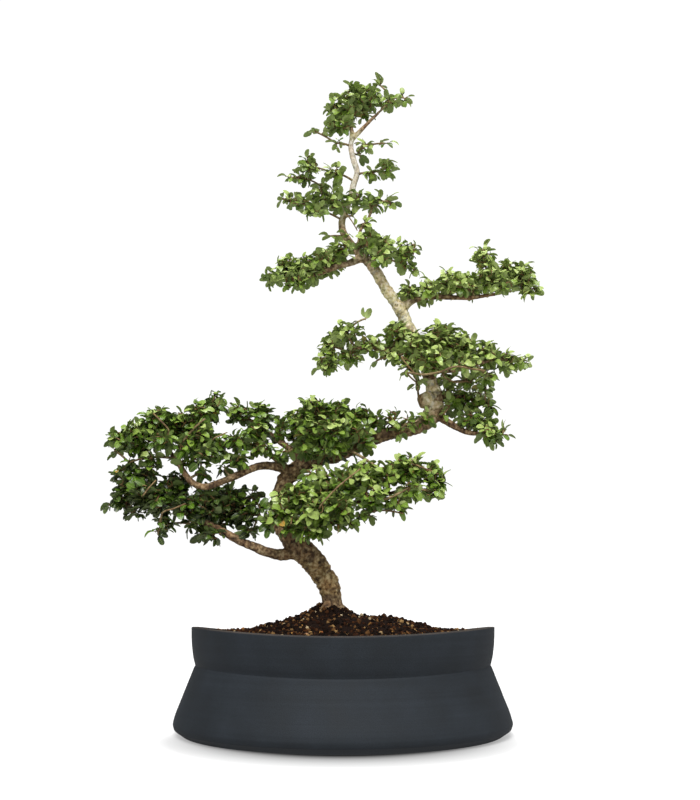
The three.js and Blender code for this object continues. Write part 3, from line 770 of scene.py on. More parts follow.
def add_tube(shaper, path, sides):
    """A closed, slightly knobbly tube, its cross-section carried along the path without twisting"""
    across = Vector((0, 1, 0))
    rings = []
    for i, point in enumerate(path):
        ahead = (path[min(i + 1, len(path) - 1)].xyz - path[max(i - 1, 0)].xyz).normalized()
        across = (across - ahead * across.dot(ahead)).normalized()
        upward = ahead.cross(across)
        ring = []
        for k in range(sides):
            angle = 2 * math.pi * k / sides
            out = across * math.cos(angle) + upward * math.sin(angle)
            knob = 1 + knob_depth * noise.noise((point.xyz + out * point.w) / knob_size * 1.5)
            ring.append(shaper.verts.new((point.xyz + out * point.w * knob) * mm))
        rings.append(ring)
    for low, high in zip(rings, rings[1:]):
        for k in range(sides):
            shaper.faces.new((low[k], low[(k + 1) % sides], high[(k + 1) % sides], high[k]))
    shaper.faces.new(rings[0][::-1])
    shaper.faces.new(rings[-1])


def root_points(degrees, length, radius, rise):
    heading = math.radians(degrees)
    return [
        (trunk_foot + length * part * math.cos(heading), length * part * math.sin(heading), height + rise,
         radius * thickness)
        for part, height, thickness in root_course
    ]


def make_bark():
    """Mottled bark: brown and creased where it is old, pale and flaking higher up, dark in its creases with
    painted shade
    """
    material, tree, shader, place = new_material("mottled bark", bark_roughness)
    paleness = mark(tree, "paleness")
    patches = grain(tree, place, bark_patches, 5)
    flakes = grain(tree, place, bark_flakes, 5)
    kinds = (old_bark, limb_bark, pale_bark, white_bark)
    old, limb, pale, white = (ramp(tree, flakes, tones) for tones in kinds)
    low_wood = blend(tree, mark(tree, "slimness"), old, limb)
    past_pale = maths(tree, "SUBTRACT", paleness, 1.0)
    mixed = blend(tree, past_pale, blend(tree, paleness, low_wood, pale), white)
    mottled = mottle(tree, lichen_strength, mixed, patches, lichen_tints)
    # Painted shade in the creases, together with their own darker bark
    crease_shading = maths(tree, "MULTIPLY", mark(tree, "crease_shade"), crease_shade_strength)
    feed(tree, shader, {"Base Color": blend(tree, crease_shading, mottled, crease_shade_colour)})
    relief(tree, shader, flakes, bark_relief)
    return material


def make_wood():
    """The tubes of every limb and root run together into one skin with eased joints"""
    shaper = bmesh.new()
    paths = [smooth_path(points, limb_step) for points in limbs.values()]
    paths += [smooth_path(root_points(*root), limb_step) for root in roots]
    for path in paths:
        add_tube(shaper, path, limb_sides)
    mesh = bpy.data.meshes.new("trunk_and_limbs")
    shaper.to_mesh(mesh)
    shaper.free()
    wood = add_to_scene("trunk_and_limbs", mesh)
    skin = wood.modifiers.new("one skin", "REMESH")
    skin.mode = "VOXEL"
    skin.voxel_size = wood_voxel
    easing = wood.modifiers.new("eased joints", "SMOOTH")
    easing.iterations = eased_rounds
    make_real(wood)
    return wood, paths


def scar_marks(place):
    """How far a point stands on a scar's raised rim, in its hollow and in the ring of painted shade between
    """
    ridge = hollow = ring = 0
    for scar in scars:
        gap = (place / mm - Vector(scar[:3])).length / scar[3]
        ridge = max(ridge, math.exp(-((gap - scar_rim_at[0]) / scar_rim_at[1]) ** 2))
        hollow = max(hollow, 1 - smoothstep(*scar_hollow_ends, gap))
        ring = max(ring, math.exp(-((gap - scar_shade_ring_at[0]) / scar_shade_ring_at[1]) ** 2))
    return ridge, hollow, ring


def bark_kind(place, girth):
    """How pale the bark is, 0 brown, 1 pale and 2 white, and how far it is like a slim limb's"""
    z = place.z
    on_trunk = smoothstep(*trunk_share, girth / (trunk_radius - trunk_taper * (z - taper_start)))
    brown = brown_share * (smoothstep(*brown_starts, z) - smoothstep(*brown_ends, z))
    pale = smoothstep(*pale_starts, z) * (1 - brown)
    below_crown = 1 - smoothstep(*pale_ends, z)
    white = smoothstep(*white_starts, z) * below_crown
    off_stump = smoothstep(*stump_reach, (place - stump_middle).length)
    slimness = max(smoothstep(*slim_girths, girth), upper_slimness * smoothstep(*foot_ends, z))
    return on_trunk * off_stump * (pale * below_crown + white), slimness


def raise_bark(wood, paths):
    """Burls, rings and flakes as deep as the limb is old, marked for its paleness and its creases' painted
    shade
    """
    points = []
    for path in paths:
        along = 0
        for before, point, after in zip([path[0], *path], path, [*path[1:], path[-1]]):
            along += (point.xyz - before.xyz).length
            ahead = (after.xyz - before.xyz).normalized()
            points.append((point.xyz * mm, point.w * mm, along * mm, ahead))
    finder = kdtree.KDTree(len(points))
    for i, point in enumerate(points):
        finder.insert(point[0], i)
    finder.balance()
    names = ("paleness", "slimness", "crease_shade")
    for name in names:
        wood.data.attributes.new(name, "FLOAT", "POINT")
    layers = [wood.data.attributes[name].data for name in names]
    normals = [normal.vector.copy() for normal in wood.data.vertex_normals]
    for point, normal, pale, slim, crease_shade in zip(wood.data.vertices, normals, *layers):
        middle, girth, along, ahead = points[finder.find(point.co)[1]]
        along += (point.co - middle).dot(ahead)
        age = smoothstep(*old_girths, girth)
        x, y, z = point.co
        burls = noise.fractal(point.co / burl_size, 1, 2, 2)
        rings = noise.fractal((x / wrinkle_width, y / wrinkle_width, along / wrinkle_height), 0.9, 2.1, 3)
        flakes = noise.fractal(point.co / bark_flake, 0.8, 2.1, 2)
        ridge, hollow, ring = scar_marks(point.co)
        pale.value, slim.value = bark_kind(point.co, girth)
        # Painted shade in the creases: darkest where the wrinkles and flakes sink lowest, more on old wood,
        # and on a scar's hollow wall
        deep_shade = smoothstep(*crease_shade_depths, rings + crease_shade_flakes * flakes)
        deep_shade *= crease_shade_shares[0] + crease_shade_shares[1] * age
        crease_shade.value = max(deep_shade * (1 - ridge), ring)
        grown = age * (burl_height * burls + ring_height * rings)
        grown += (flake_heights[0] + flake_heights[1] * age) * flakes
        point.co += normal * mm * (grown * (1 - ridge) + scar_ridge * ridge - scar_hollow * hollow)
    wood.data.shade_smooth()


wood, wood_paths = make_wood()
raise_bark(wood, wood_paths)
wood.data.materials.clear()
wood.data.materials.append(make_bark())
finish_piece(wood, "bark", "tree")


# Twigs: the fine wood of each leafy pad. Stems leave the limbs and fork into thin shoots that fan out
# into the clumps, wired and pruned so that each pad is flat underneath and rounded on top.
stem_radii = (1.9, 1.1)
shoot_radii = (0.8, 0.42)
path_step = 4.5
tip_gap = 5.1
leaf_reach = 3.5
pad_hang = 2
leaf_spacing = 3.6
growth_seed = 40
twig_sides = 4
bare_trunk_top = 165

# How a clump is filled: tips tried for the product of its half sizes and besides, how far down they may
# point, and how far out its thin middle reaches and how many are left out there
tips_tried = (0.2, 120)
bare_below = -0.8
thin_middle = (0.45, 0.6)

# How far below its clump a stem should start, and what a start above that and a thick start count for
start_below = 3
above_cost = 1.2
thick_cost = 1.5

# A stem ends under its clump's middle, bends partway, strays by millimetres, arches, and thickens with
# its length; a shoot bends and lifts by a part of its length
stem_end = 0.35
stem_bend = 0.55
stem_stray = 4
stem_arch = 0.12
stem_thickening = (0.6, 90)
shoot_bend = 0.12
shoot_lift = 0.06

# What turns a shoot's leaves: the light above, the way out of the clump and chance; and what sets their
# tone: how far out and how high they are, painted as shade deep inside and low down and as light far out
# and on top, and chance
light_parts = (0.9, 0.5, 0.45)
outer_painted_light = 0.42
painted_shade_reach = 0.74
upper_painted_light = 0.2
stray_tone = 0.16

twig_roughness = 0.7
twig_patches = 300
twig_relief = 0.25 * mm
young_radii = (0.4 * mm, 1.2 * mm)
old_twig = [(0.3, "54432b"), (0.55, "8d7850"), (0.75, "bcab80")]
young_twig = [(0.35, "74462a"), (0.65, "8f7040")]

# For each pad, how its solids' names begin, how light its green is and its clumps of leaves:
# x, y, z, then half the width, height and depth, in millimetres
pads = {
    "crown": (("crown_",), 0.78, [
        (1, 0, 679, 22, 15, 17), (-5, -6, 654, 16, 9, 14), (9, 4, 698, 10, 10, 12),
        (-31, -10, 643, 13, 4, 8), (46, -7, 631, 10, 5, 7), (25, -4, 687, 16, 15, 16),
        (23, 8, 676, 10, 9, 12), (50, 0, 686, 14, 9, 10), (39, 2, 709, 9, 7, 8), (68, 1, 691, 9, 6, 6),
        (-8, -8, 631, 10, 6, 8), (25, -7, 629, 11, 6, 9), (18, 6, 623, 6, 6, 8),
    ]),
    "upper": (("fifth_", "fourth_"), 0.78, [
        (-12, -8, 596, 13, 8, 13), (-38, -11, 604, 12, 13, 10), (-46, 2, 594, 16, 6, 9),
        (-26, 6, 587, 11, 7, 10), (-58, -6, 590, 10, 5, 7), (32, -3, 598, 10, 7, 9),
        (47, -8, 602, 13, 10, 11), (-6, -6, 563, 14, 11, 16), (-24, 4, 572, 16, 12, 14),
        (-30, -12, 551, 15, 8, 12), (-50, -8, 562, 17, 8, 12), (-67, -6, 565, 9, 4, 7),
        (14, -8, 566, 10, 9, 12), (9, -6, 546, 6, 5, 6), (33, -8, 561, 14, 10, 13),
        (52, -6, 563, 8, 9, 8),
    ]),
    "third": (("third_",), 0.82, [
        (-2, -14, 504, 14, 10, 15), (-15, -2, 493, 15, 12, 20), (-23, -26, 491, 15, 11, 14),
        (-39, -12, 482, 17, 15, 22), (-61, 2, 489, 15, 13, 18), (-53, -26, 466, 15, 11, 14),
        (-76, -12, 473, 13, 9, 13), (27, -14, 513, 12, 15, 16), (44, 0, 509, 14, 14, 20),
        (41, -26, 491, 12, 10, 12), (65, -14, 502, 13, 13, 14), (75, -24, 501, 9, 11, 8),
        (65, -14, 487, 10, 8, 10), (4, -6, 524, 7, 6, 7), (24, -8, 535, 9, 7, 8), (77, -8, 484, 8, 7, 8),
        (-82, -12, 470, 7, 5, 7), (-14, -4, 523, 7, 5, 6),
    ]),
    "second": (("second_",), 0.92, [
        (72, -4, 460, 13, 10, 14), (93, -12, 460, 13, 10, 16), (88, 8, 459, 11, 8, 12),
        (115, -12, 465, 16, 13, 20), (136, 4, 469, 15, 13, 18), (126, -24, 459, 15, 9, 12),
        (157, -10, 474, 15, 15, 22), (153, -6, 500, 13, 12, 14), (181, 4, 483, 16, 14, 22),
        (196, -8, 474, 13, 15, 18), (199, -12, 457, 13, 6, 10), (171, -26, 461, 14, 9, 12),
        (207, -8, 462, 7, 6, 8), (140, -14, 460, 12, 6, 12), (114, -8, 477, 11, 6, 10),
        (101, 2, 470, 9, 5, 8),
    ]),
    "middle": (("middle_",), 0.85, [
        (4, -24, 409, 19, 10, 14), (-14, -14, 398, 11, 13, 14), (-16, -18, 380, 14, 12, 16),
        (6, -8, 387, 14, 10, 18), (24, -22, 424, 4, 6, 5), (31, -20, 396, 14, 10, 18),
        (56, -16, 409, 15, 12, 18), (50, 2, 396, 14, 8, 16), (76, -26, 389, 17, 18, 18),
        (100, -22, 401, 18, 18, 20), (92, -40, 373, 21, 13, 16), (68, -20, 371, 11, 9, 14),
        (107, 26, 406, 20, 18, 16), (85, 30, 399, 16, 14, 14), (125, 18, 396, 15, 14, 14),
        (125, -24, 392, 16, 16, 18), (127, -38, 372, 15, 9, 14), (152, -20, 385, 14, 13, 18),
        (173, -20, 380, 13, 10, 14), (189, -18, 378, 11, 8, 10), (150, -22, 362, 11, 7, 12),
        (174, -4, 377, 13, 6, 12), (-22, -14, 372, 9, 7, 9), (153, -8, 363, 12, 7, 12),
        (54, -18, 385, 12, 9, 12), (112, 6, 364, 12, 8, 12), (132, 2, 362, 12, 7, 12),
        (79, -8, 357, 7, 8, 7), (35, -16, 379, 7, 5, 6), (113, 20, 423, 15, 6, 12),
    ]),
    "lower_right": (("lower_right_", "trunk_sprig_", "elbow_"), 0.66, [
        (124, 14, 344, 13, 14, 16), (141, 12, 341, 14, 14, 15), (157, 6, 337, 8, 10, 10),
        (134, -8, 319, 16, 9, 18), (151, -14, 303, 14, 9, 16), (148, 6, 316, 13, 9, 14),
        (169, -10, 307, 7, 5, 7), (152, -2, 353, 9, 5, 8), (167, -10, 302, 10, 7, 10),
        (158, -8, 295, 9, 5, 8), (113, 4, 348, 9, 9, 9), (112, -4, 332, 8, 9, 8),
        (68, -16, 314, 11, 9, 9), (50, -12, 318, 11, 10, 10), (35, -12, 315, 9, 8, 9),
        (58, -18, 303, 9, 7, 8), (86, -13, 317, 10, 8, 8), (106, -12, 323, 7, 6, 7),
    ]),
    "centre": (("centre_",), 0.59, [
        (-47, -10, 314, 14, 13, 20), (-29, -20, 326, 17, 13, 20), (-34, -38, 302, 16, 13, 16),
        (-38, -26, 285, 14, 10, 20), (-6, -22, 323, 17, 11, 20), (-11, -44, 299, 18, 14, 18),
        (-13, -36, 284, 18, 9, 18), (9, -34, 303, 14, 13, 18), (17, -16, 321, 15, 9, 18),
        (19, -28, 297, 11, 13, 16), (34, -18, 314, 11, 8, 12), (-30, 16, 314, 19, 15, 18),
        (-2, 20, 316, 19, 14, 18), (-47, 20, 301, 15, 12, 16), (-59, -16, 281, 10, 6, 8),
        (-20, -24, 276, 14, 6, 8), (5, -22, 281, 14, 6, 8), (25, -22, 288, 10, 6, 8),
    ]),
    "front": (("front_", "back_low"), 0.69, [
        (-60, -34, 224, 16, 18, 20), (-42, -36, 236, 16, 13, 22), (-51, -40, 206, 16, 13, 18),
        (-31, -50, 199, 16, 13, 16), (-19, -44, 238, 17, 14, 22), (-25, -60, 218, 18, 14, 18),
        (-3, -64, 222, 17, 13, 16), (-7, -52, 207, 14, 8, 16), (3, -44, 248, 14, 13, 20),
        (23, -46, 254, 16, 14, 22), (29, -58, 232, 16, 13, 18), (46, -48, 255, 15, 13, 20),
        (53, -54, 227, 14, 8, 14), (67, -44, 262, 15, 14, 20), (88, -40, 256, 13, 13, 18),
        (69, -54, 239, 14, 10, 16), (89, -46, 237, 13, 7, 14), (-28, -50, 194, 12, 7, 10),
        (6, -52, 207, 13, 7, 12), (24, -50, 214, 12, 7, 12), (53, -48, 221, 12, 6, 10),
        (98, -42, 249, 8, 9, 10), (-75, -38, 208, 7, 12, 12), (-31, -40, 256, 12, 8, 12),
        (-12, -42, 254, 12, 8, 12), (5, -40, 259, 12, 7, 10), (-47, 30, 235, 19, 17, 18),
        (-19, 26, 241, 19, 14, 20), (9, 16, 249, 17, 13, 20),
    ]),
    "left": (("left_",), 0.51, [
        (-233, -12, 297, 15, 9, 18), (-215, -20, 302, 16, 11, 20), (-213, -6, 288, 12, 9, 18),
        (-230, 10, 297, 13, 9, 14), (-193, -22, 313, 17, 14, 24), (-184, -38, 291, 15, 10, 18),
        (-172, -8, 311, 16, 15, 26), (-197, -26, 275, 10, 8, 14), (-160, -36, 286, 12, 9, 16),
        (-148, -14, 321, 16, 15, 24), (-134, -10, 337, 11, 11, 16), (-143, -34, 296, 15, 11, 20),
        (-137, -42, 276, 13, 9, 16), (-153, -20, 285, 10, 8, 18), (-194, 22, 316, 20, 13, 20),
        (-167, 26, 311, 20, 13, 20), (-111, 10, 327, 15, 10, 22), (-88, 14, 326, 14, 14, 20),
        (-90, -4, 303, 15, 12, 18), (-68, 12, 310, 10, 13, 16), (-107, -18, 293, 16, 9, 22),
        (-86, -14, 287, 16, 8, 20), (-108, -26, 273, 12, 8, 16), (-68, -8, 277, 13, 6, 14),
        (-144, -22, 259, 10, 7, 10), (-122, -20, 264, 11, 6, 9), (-110, -16, 271, 10, 7, 9),
        (-238, -14, 283, 8, 6, 8), (-126, -20, 286, 9, 12, 12), (-132, -6, 331, 10, 6, 10),
        (-147, -30, 273, 14, 8, 12), (-164, -26, 269, 10, 6, 10), (-222, -16, 271, 9, 7, 9),
    ]),
    "low_left": (("low_left_",), 0.22, [
        (-225, -14, 255, 13, 15, 20), (-202, -22, 261, 13, 11, 18), (-227, -10, 233, 13, 13, 20),
        (-205, -26, 240, 14, 14, 20), (-238, -14, 228, 10, 5, 9), (-188, -18, 230, 15, 16, 26),
        (-175, -2, 249, 15, 13, 26), (-160, -26, 225, 15, 14, 22), (-182, -24, 207, 11, 9, 14),
        (-187, -28, 197, 8, 8, 7), (-141, -6, 227, 18, 17, 28), (-117, 4, 230, 16, 17, 26),
        (-101, -4, 219, 12, 14, 20), (-155, -18, 208, 11, 8, 14), (-132, -22, 196, 12, 8, 10),
        (-98, -14, 200, 10, 6, 10), (-213, -20, 220, 12, 8, 12), (-229, -12, 227, 9, 7, 9),
        (-127, 2, 211, 13, 9, 14), (-143, -8, 200, 12, 8, 12), (-97, 4, 239, 12, 8, 12),
        (-94, -2, 202, 8, 6, 8), (-86, -4, 225, 8, 8, 8), (-187, 30, 244, 22, 15, 18),
        (-142, 34, 240, 22, 15, 18), (-218, 24, 252, 15, 13, 16),
    ]),
}

# Bare stems that show in front of the leaves: thickness at both ends and middle line, in millimetres
bare_stems = {
    "upper": [(1.1, 0.7, [(3, -4, 547), (9, -8, 537), (15, -8, 526)])],
    "middle": [
        (1.3, 0.9, [
            (66, -46, 357), (82, -52, 354), (99, -52, 357), (115, -50, 363), (132, -48, 361),
            (146, -44, 360),
        ]),
        (1, 0.7, [(60, -48, 374), (66, -50, 364), (73, -50, 356)]),
        (1.2, 0.8, [(105, -14, 362), (118, -12, 355), (132, -8, 357)]),
    ],
    "front": [
        (2.2, 1.3, [(-22, -6, 271), (-10, -16, 278), (5, -28, 279), (19, -40, 271), (35, -48, 259)]),
        (1.1, 0.8, [(-20, -78, 220), (-6, -80, 235), (9, -76, 248), (17, -70, 255)]),
        (1.6, 1, [(33, -62, 225), (48, -66, 228), (66, -62, 238)]),
        (1.2, 0.8, [(19, -52, 211), (37, -54, 216), (60, -52, 213)]),
        (1.1, 0.7, [(55, -50, 267), (75, -56, 260), (95, -54, 252)]),
    ],
    "left": [
        (1.8, 1.1, [(-172, -26, 277), (-159, -40, 292), (-148, -48, 302), (-140, -48, 309)]),
        (1.3, 0.8, [(-177, -42, 297), (-184, -48, 306), (-193, -46, 315)]),
        (1.2, 0.8, [(-134, -44, 287), (-125, -46, 292), (-118, -42, 296)]),
    ],
    "low_left": [
        (1.3, 0.8, [(-180, -46, 214), (-168, -50, 218), (-157, -48, 223)]),
        (1.3, 0.8, [(-201, -44, 231), (-194, -48, 239), (-188, -44, 247)]),
    ],
}


def bend_path(start, bend, end, step=path_step):
    """Points along a curve that leaves its start towards the bend and comes into its end from it"""
    pieces = max(2, round((end - start).length / step))
    points = []
    for t in (i / pieces for i in range(pieces + 1)):
        points.append(start * (1 - t) ** 2 + bend * 2 * t * (1 - t) + end * t ** 2)
    return points


def nearest_wood(centre, stems):
    """The point on the limbs or the pad's stems from which a clump grows: the nearest not above it"""
    def cost(point):
        above = max(0, point.z - centre.z + start_below)
        return (point.xyz - centre).length + above_cost * above + thick_cost * point.w
    return min(wood_points + stems, key=cost)


def off_the_wood(clump):
    centre = Vector(clump[:3])
    return min((point.xyz - centre).length for point in wood_points)


def any_direction(draw):
    upward = draw.uniform(-1, 1)
    turned = draw.uniform(0, 2 * math.pi)
    level = math.sqrt(1 - upward * upward)
    return Vector((level * math.cos(turned), level * math.sin(turned), upward))


def place_tips(draw, centre, reach, taken):
    """Shoot tips strewn through a clump, no two of the pad's too close, and fewer deep inside"""
    tips = []
    for _ in range(round(tips_tried[0] * reach.x * reach.y * reach.z) + tips_tried[1]):
        out = any_direction(draw) * draw.random() ** (1 / 3)
        if out.z < bare_below or (out.length < thin_middle[0] and draw.random() < thin_middle[1]):
            continue
        tip = centre + out * reach
        if all((tip - other).length > tip_gap for other in taken):
            taken.append(tip)
            tips.append((tip, out))
    return tips


def grow_clump(draw, clump, lightness, taken, stems):
    """A stem and shoots to a clump's tips: twigs as (points, radii), shoots as (points, light, tone)"""
    centre = Vector(clump[:3])
    across, up, deep = clump[3:]
    origin = nearest_wood(centre, stems)
    foot = centre - Vector((0, 0, stem_end * up))
    away = foot - origin.xyz
    stray = Vector((draw.uniform(-stem_stray, stem_stray), draw.uniform(-stem_stray, stem_stray),
                    stem_arch * away.length))
    stem = bend_path(origin.xyz, origin.xyz + away * stem_bend + stray, foot)
    thick = min(origin.w, stem_radii[0] * min(1, stem_thickening[0] + away.length / stem_thickening[1]))
    thin = min(thick, stem_radii[1])
    for i, point in enumerate(stem):
        stems.append(Vector((*point, thick + (thin - thick) * i / (len(stem) - 1))))
    twigs = [(stem, thick, thin)]
    shoots = []
    joints = stem[len(stem) // 2:]
    reach = Vector([max(0.4 * half, half - leaf_reach) for half in (across, deep, up + pad_hang)])
    tips = place_tips(draw, centre - Vector((0, 0, pad_hang)), reach, taken)
    for tip, out in sorted(tips, key=lambda found: (found[0] - foot).length):
        start = min(joints, key=lambda joint: (joint - tip).length + 0.5 * max(0, joint.z - tip.z))
        middle = (start + tip) / 2 + any_direction(draw) * shoot_bend * (tip - start).length
        middle.z += shoot_lift * (tip - start).length
        path = bend_path(start, middle, tip)
        joints += path[1:]
        twigs.append((path, *shoot_radii))
        above, outward, any_way = light_parts
        light = (Vector((0, 0, above)) + out * outward + any_way * any_direction(draw)).normalized()
        # Painted shade and painted light: the green is darker deep inside and low in the clump, and lighter
        # far out and on top
        tone = lightness + outer_painted_light * (out.length - painted_shade_reach) + upper_painted_light * out.z
        shoots.append((path, light, tone + draw.uniform(-stray_tone, stray_tone)))
    return twigs, shoots


def grow_bare_stem(thick, thin, course, stems):
    """A stem from the nearest wood along its course: points and the thickness at both ends"""
    origin = nearest_wood(Vector(course[0]), stems)
    path = smooth_path([(*point, 0) for point in (origin.xyz, *course)], path_step)
    return [point.xyz for point in path], thick, thin


def thread_mesh(name, paths, attributes):
    """A mesh of bare edges along the paths, with values for each point"""
    places = []
    edges = []
    for path in paths:
        edges += [(len(places) + i, len(places) + i + 1) for i in range(len(path) - 1)]
        places += [point * mm for point in path]
    mesh = bpy.data.meshes.new(name)
    mesh.from_pydata(places, edges, [])
    for title, (kind, values) in attributes.items():
        layer = mesh.attributes.new(title, kind, "POINT")
        layer.data.foreach_set("vector" if kind == "FLOAT_VECTOR" else "value", values)
    return add_to_scene(name, mesh)


def thread_value(tree, name, kind="FLOAT"):
    """A value that each point of the threads carries"""
    return fetch(tree, "GeometryNodeInputNamedAttribute", {"Name": name}, data_type=kind)


def make_twig_tree():
    """Round wood along each path, as thick as its points say"""
    tree, given, end = node_tree("twigs along paths", {
        "Paths": "Geometry", "Sides": "Int", "Material": "Material",
    })
    lines = fetch(tree, "GeometryNodeMeshToCurve", {"Mesh": given["Paths"]})
    ring = fetch(tree, "GeometryNodeCurvePrimitiveCircle", {"Resolution": given["Sides"], "Radius": 1.0})
    wood_round = fetch(tree, "GeometryNodeCurveToMesh", {
        "Curve": lines, "Profile Curve": ring, "Scale": thread_value(tree, "thickness"), "Fill Caps": True,
    })
    close_tree(tree, wood_round, given["Material"], end)
    return tree


def make_twig_bark():
    """Thin brown bark, redder on the youngest shoots"""
    material, tree, shader, place = new_material("twig bark", twig_roughness)
    young = between(tree, mark(tree, "thickness"), 1.0, 0.0, *young_radii)
    patches = grain(tree, place, twig_patches, 3)
    old = ramp(tree, patches, old_twig)
    feed(tree, shader, {"Base Color": blend(tree, young, old, ramp(tree, patches, young_twig))})
    relief(tree, shader, patches, twig_relief)
    return material


# Leaves: small, pointed and toothed, leathery and glossy green above and paler below, on short stalks
# in two rows along each shoot. A few have turned yellow or orange.
leaf_length = 12.5
leaf_width = 7.4
leaf_teeth = 2
leaf_thickness = 0.35
stalk_length = 2.2
stalk_radius = 0.3
stalk_sides = 3
stalk_root = 0.06
rib_points = (0.26, 0.52, 0.78)

# Half the margin as far along and far out: its base, one tooth, the step between teeth, and its tip
margin_base = [(0, 0), (0.08, 0.5)]
tooth_form = ((0.25, 1.04), (0.31, 0.93))
tooth_step = 0.25
margin_tip = [(0.78, 0.86), (0.93, 0.5), (1, 0)]

# Arch along the rib, fold of the two halves and curl of the tip, for each kind of leaf
leaf_forms = [(0.09, 0.22, 0.05), (0.14, 0.1, 0.1), (0.05, 0.3, 0), (0.2, 0.2, 0.16), (0.04, 0.12, 0.2)]

# Degrees away from the shoot and down, then the shares of them, the tilt and turn in radians, the size,
# how much the last leaves shrink, and how a leaf's tone varies; beyond the last share it has turned
leaf_spread = 52
leaf_droop = 20
spread_shares = (0.6, 1.3)
droop_shares = (-0.2, 2.0)
leaf_tilt = 0.6
leaf_turn = 0.2
leaf_sizes = (0.66, 1.14)
tip_shrink = 0.18
leaf_stray_tone = 0.13
lightest_green = 0.9
still_green = 0.996

# Half the rib's width, how often veins come and how they slant, their width, strength and colour
rib_half_width = 0.035
vein_count = 7.0
vein_slant = 4.5
vein_width = 0.07
vein_strength = 0.45
line_strength = 0.55
line_colour = "a9b86c"

# Underside: how far and to what colour it fades; roughness above and below; patches; relief
underside_fade = 0.45
underside_colour = "8d9c66"
leaf_gloss = 0.42
leaf_shine = 0.5
leaf_roughness = (0.32, 0.6)
leaf_patches = 260
patch_strength = 0.35
patch_tones = [(0.35, (0.6, 0.62, 0.5, 1)), (0.65, 1)]
patch_relief = 0.6
leaf_relief = 0.16 * mm
# Greens by half the leaf's tone, darkest to lightest, which also carry the painted shade and light in the
# clumps; then the yellows and oranges of turned leaves
leaf_tones = [
    (0.0, "0d1600"), (0.12, "263d02"), (0.25, "50740e"), (0.36, "84a23a"), (0.45, "b6ca72"),
    (0.5, "d0da90"), (0.58, "ccb24a"), (0.95, "b4863c"),
]


def leaf_outline():
    """One half of the toothed margin, from the base to the tip: how far along, and how far out"""
    margin = list(margin_base)
    for tooth in range(leaf_teeth):
        for along, jut in tooth_form:
            s = along + tooth_step * tooth
            margin.append((s, jut * math.sin(math.pi * s ** 0.93) ** 0.52))
    return margin + margin_tip


def leaf_triangles(rib, margin, mirrored):
    """Fill between the rib and one margin, always stepping along whichever lags behind"""
    faces = []
    i = j = 0
    while i < len(rib) - 1 or j < len(margin) - 1:
        step_rib = j == len(margin) - 1 or (i < len(rib) - 1 and rib[i + 1][0] <= margin[j + 1][0])
        face = (rib[i][1], margin[j][1], rib[i + 1][1] if step_rib else margin[j + 1][1])
        if len(set(face)) == 3:
            faces.append(face[::-1] if mirrored else face)
        i, j = (i + 1, j) if step_rib else (i, j + 1)
    return faces


def make_leaf(name, arch, fold, curl):
    """A closed blade, creased along its rib, with its stalk; it points along X with its upper side to +Z"""
    places = []
    marks = []

    def add_point(place, s, out):
        places.append(place)
        marks.append((s, out))
        return len(places) - 1

    def add(s, out=0, side=0, under=False):
        half = leaf_width / 2 * out
        lift = arch * math.sin(math.pi * s) + fold * half / leaf_length - curl * s * s
        drop = leaf_thickness if under else 0
        place = (leaf_length * s, side * half, leaf_length * lift - drop)
        return add_point(place, s, 0.5 + side * half / leaf_width)

    base = add(0)
    tip = add(1)
    margins = {}
    for side in (-1, 1):
        inner = [(s, add(s, out, side)) for s, out in leaf_outline()[1:-1]]
        margins[side] = [(0, base), *inner, (1, tip)]
    faces = []
    for under in (False, True):
        rib = [(0, base), *[(s, add(s, under=under)) for s in rib_points], (1, tip)]
        for side in (-1, 1):
            faces += leaf_triangles(rib, margins[side], mirrored=(side == 1) != under)
    top_faces = len(faces) // 2
    around = []
    for angle in (2 * math.pi * k / stalk_sides for k in range(stalk_sides)):
        place = (-stalk_length, stalk_radius * math.cos(angle), stalk_radius * math.sin(angle))
        around.append(add_point(place, 0, 0.5))
    point = add_point((stalk_root * leaf_length, 0, -0.5 * leaf_thickness), 0, 0.5)
    faces += [(around[k], around[(k + 1) % stalk_sides], point) for k in range(stalk_sides)]
    faces.append(tuple(around[::-1]))
    mesh = bpy.data.meshes.new(name)
    mesh.from_pydata([Vector(place) * mm for place in places], [], faces)
    layer = mesh.uv_layers.new(name="UVMap")
    for face in mesh.polygons:
        for corner in face.loop_indices:
            s, out = marks[mesh.loops[corner].vertex_index]
            layer.data[corner].uv = (s + (1 if face.index >= top_faces else 0), out)
    rim = set()
    for side in (-1, 1):
        walk = [index for place, index in margins[side]]
        rim |= {tuple(sorted(pair)) for pair in zip(walk, walk[1:])}
    for edge in mesh.edges:
        edge.use_edge_sharp = tuple(sorted(edge.vertices)) in rim
    return bpy.data.objects.new(name, mesh)


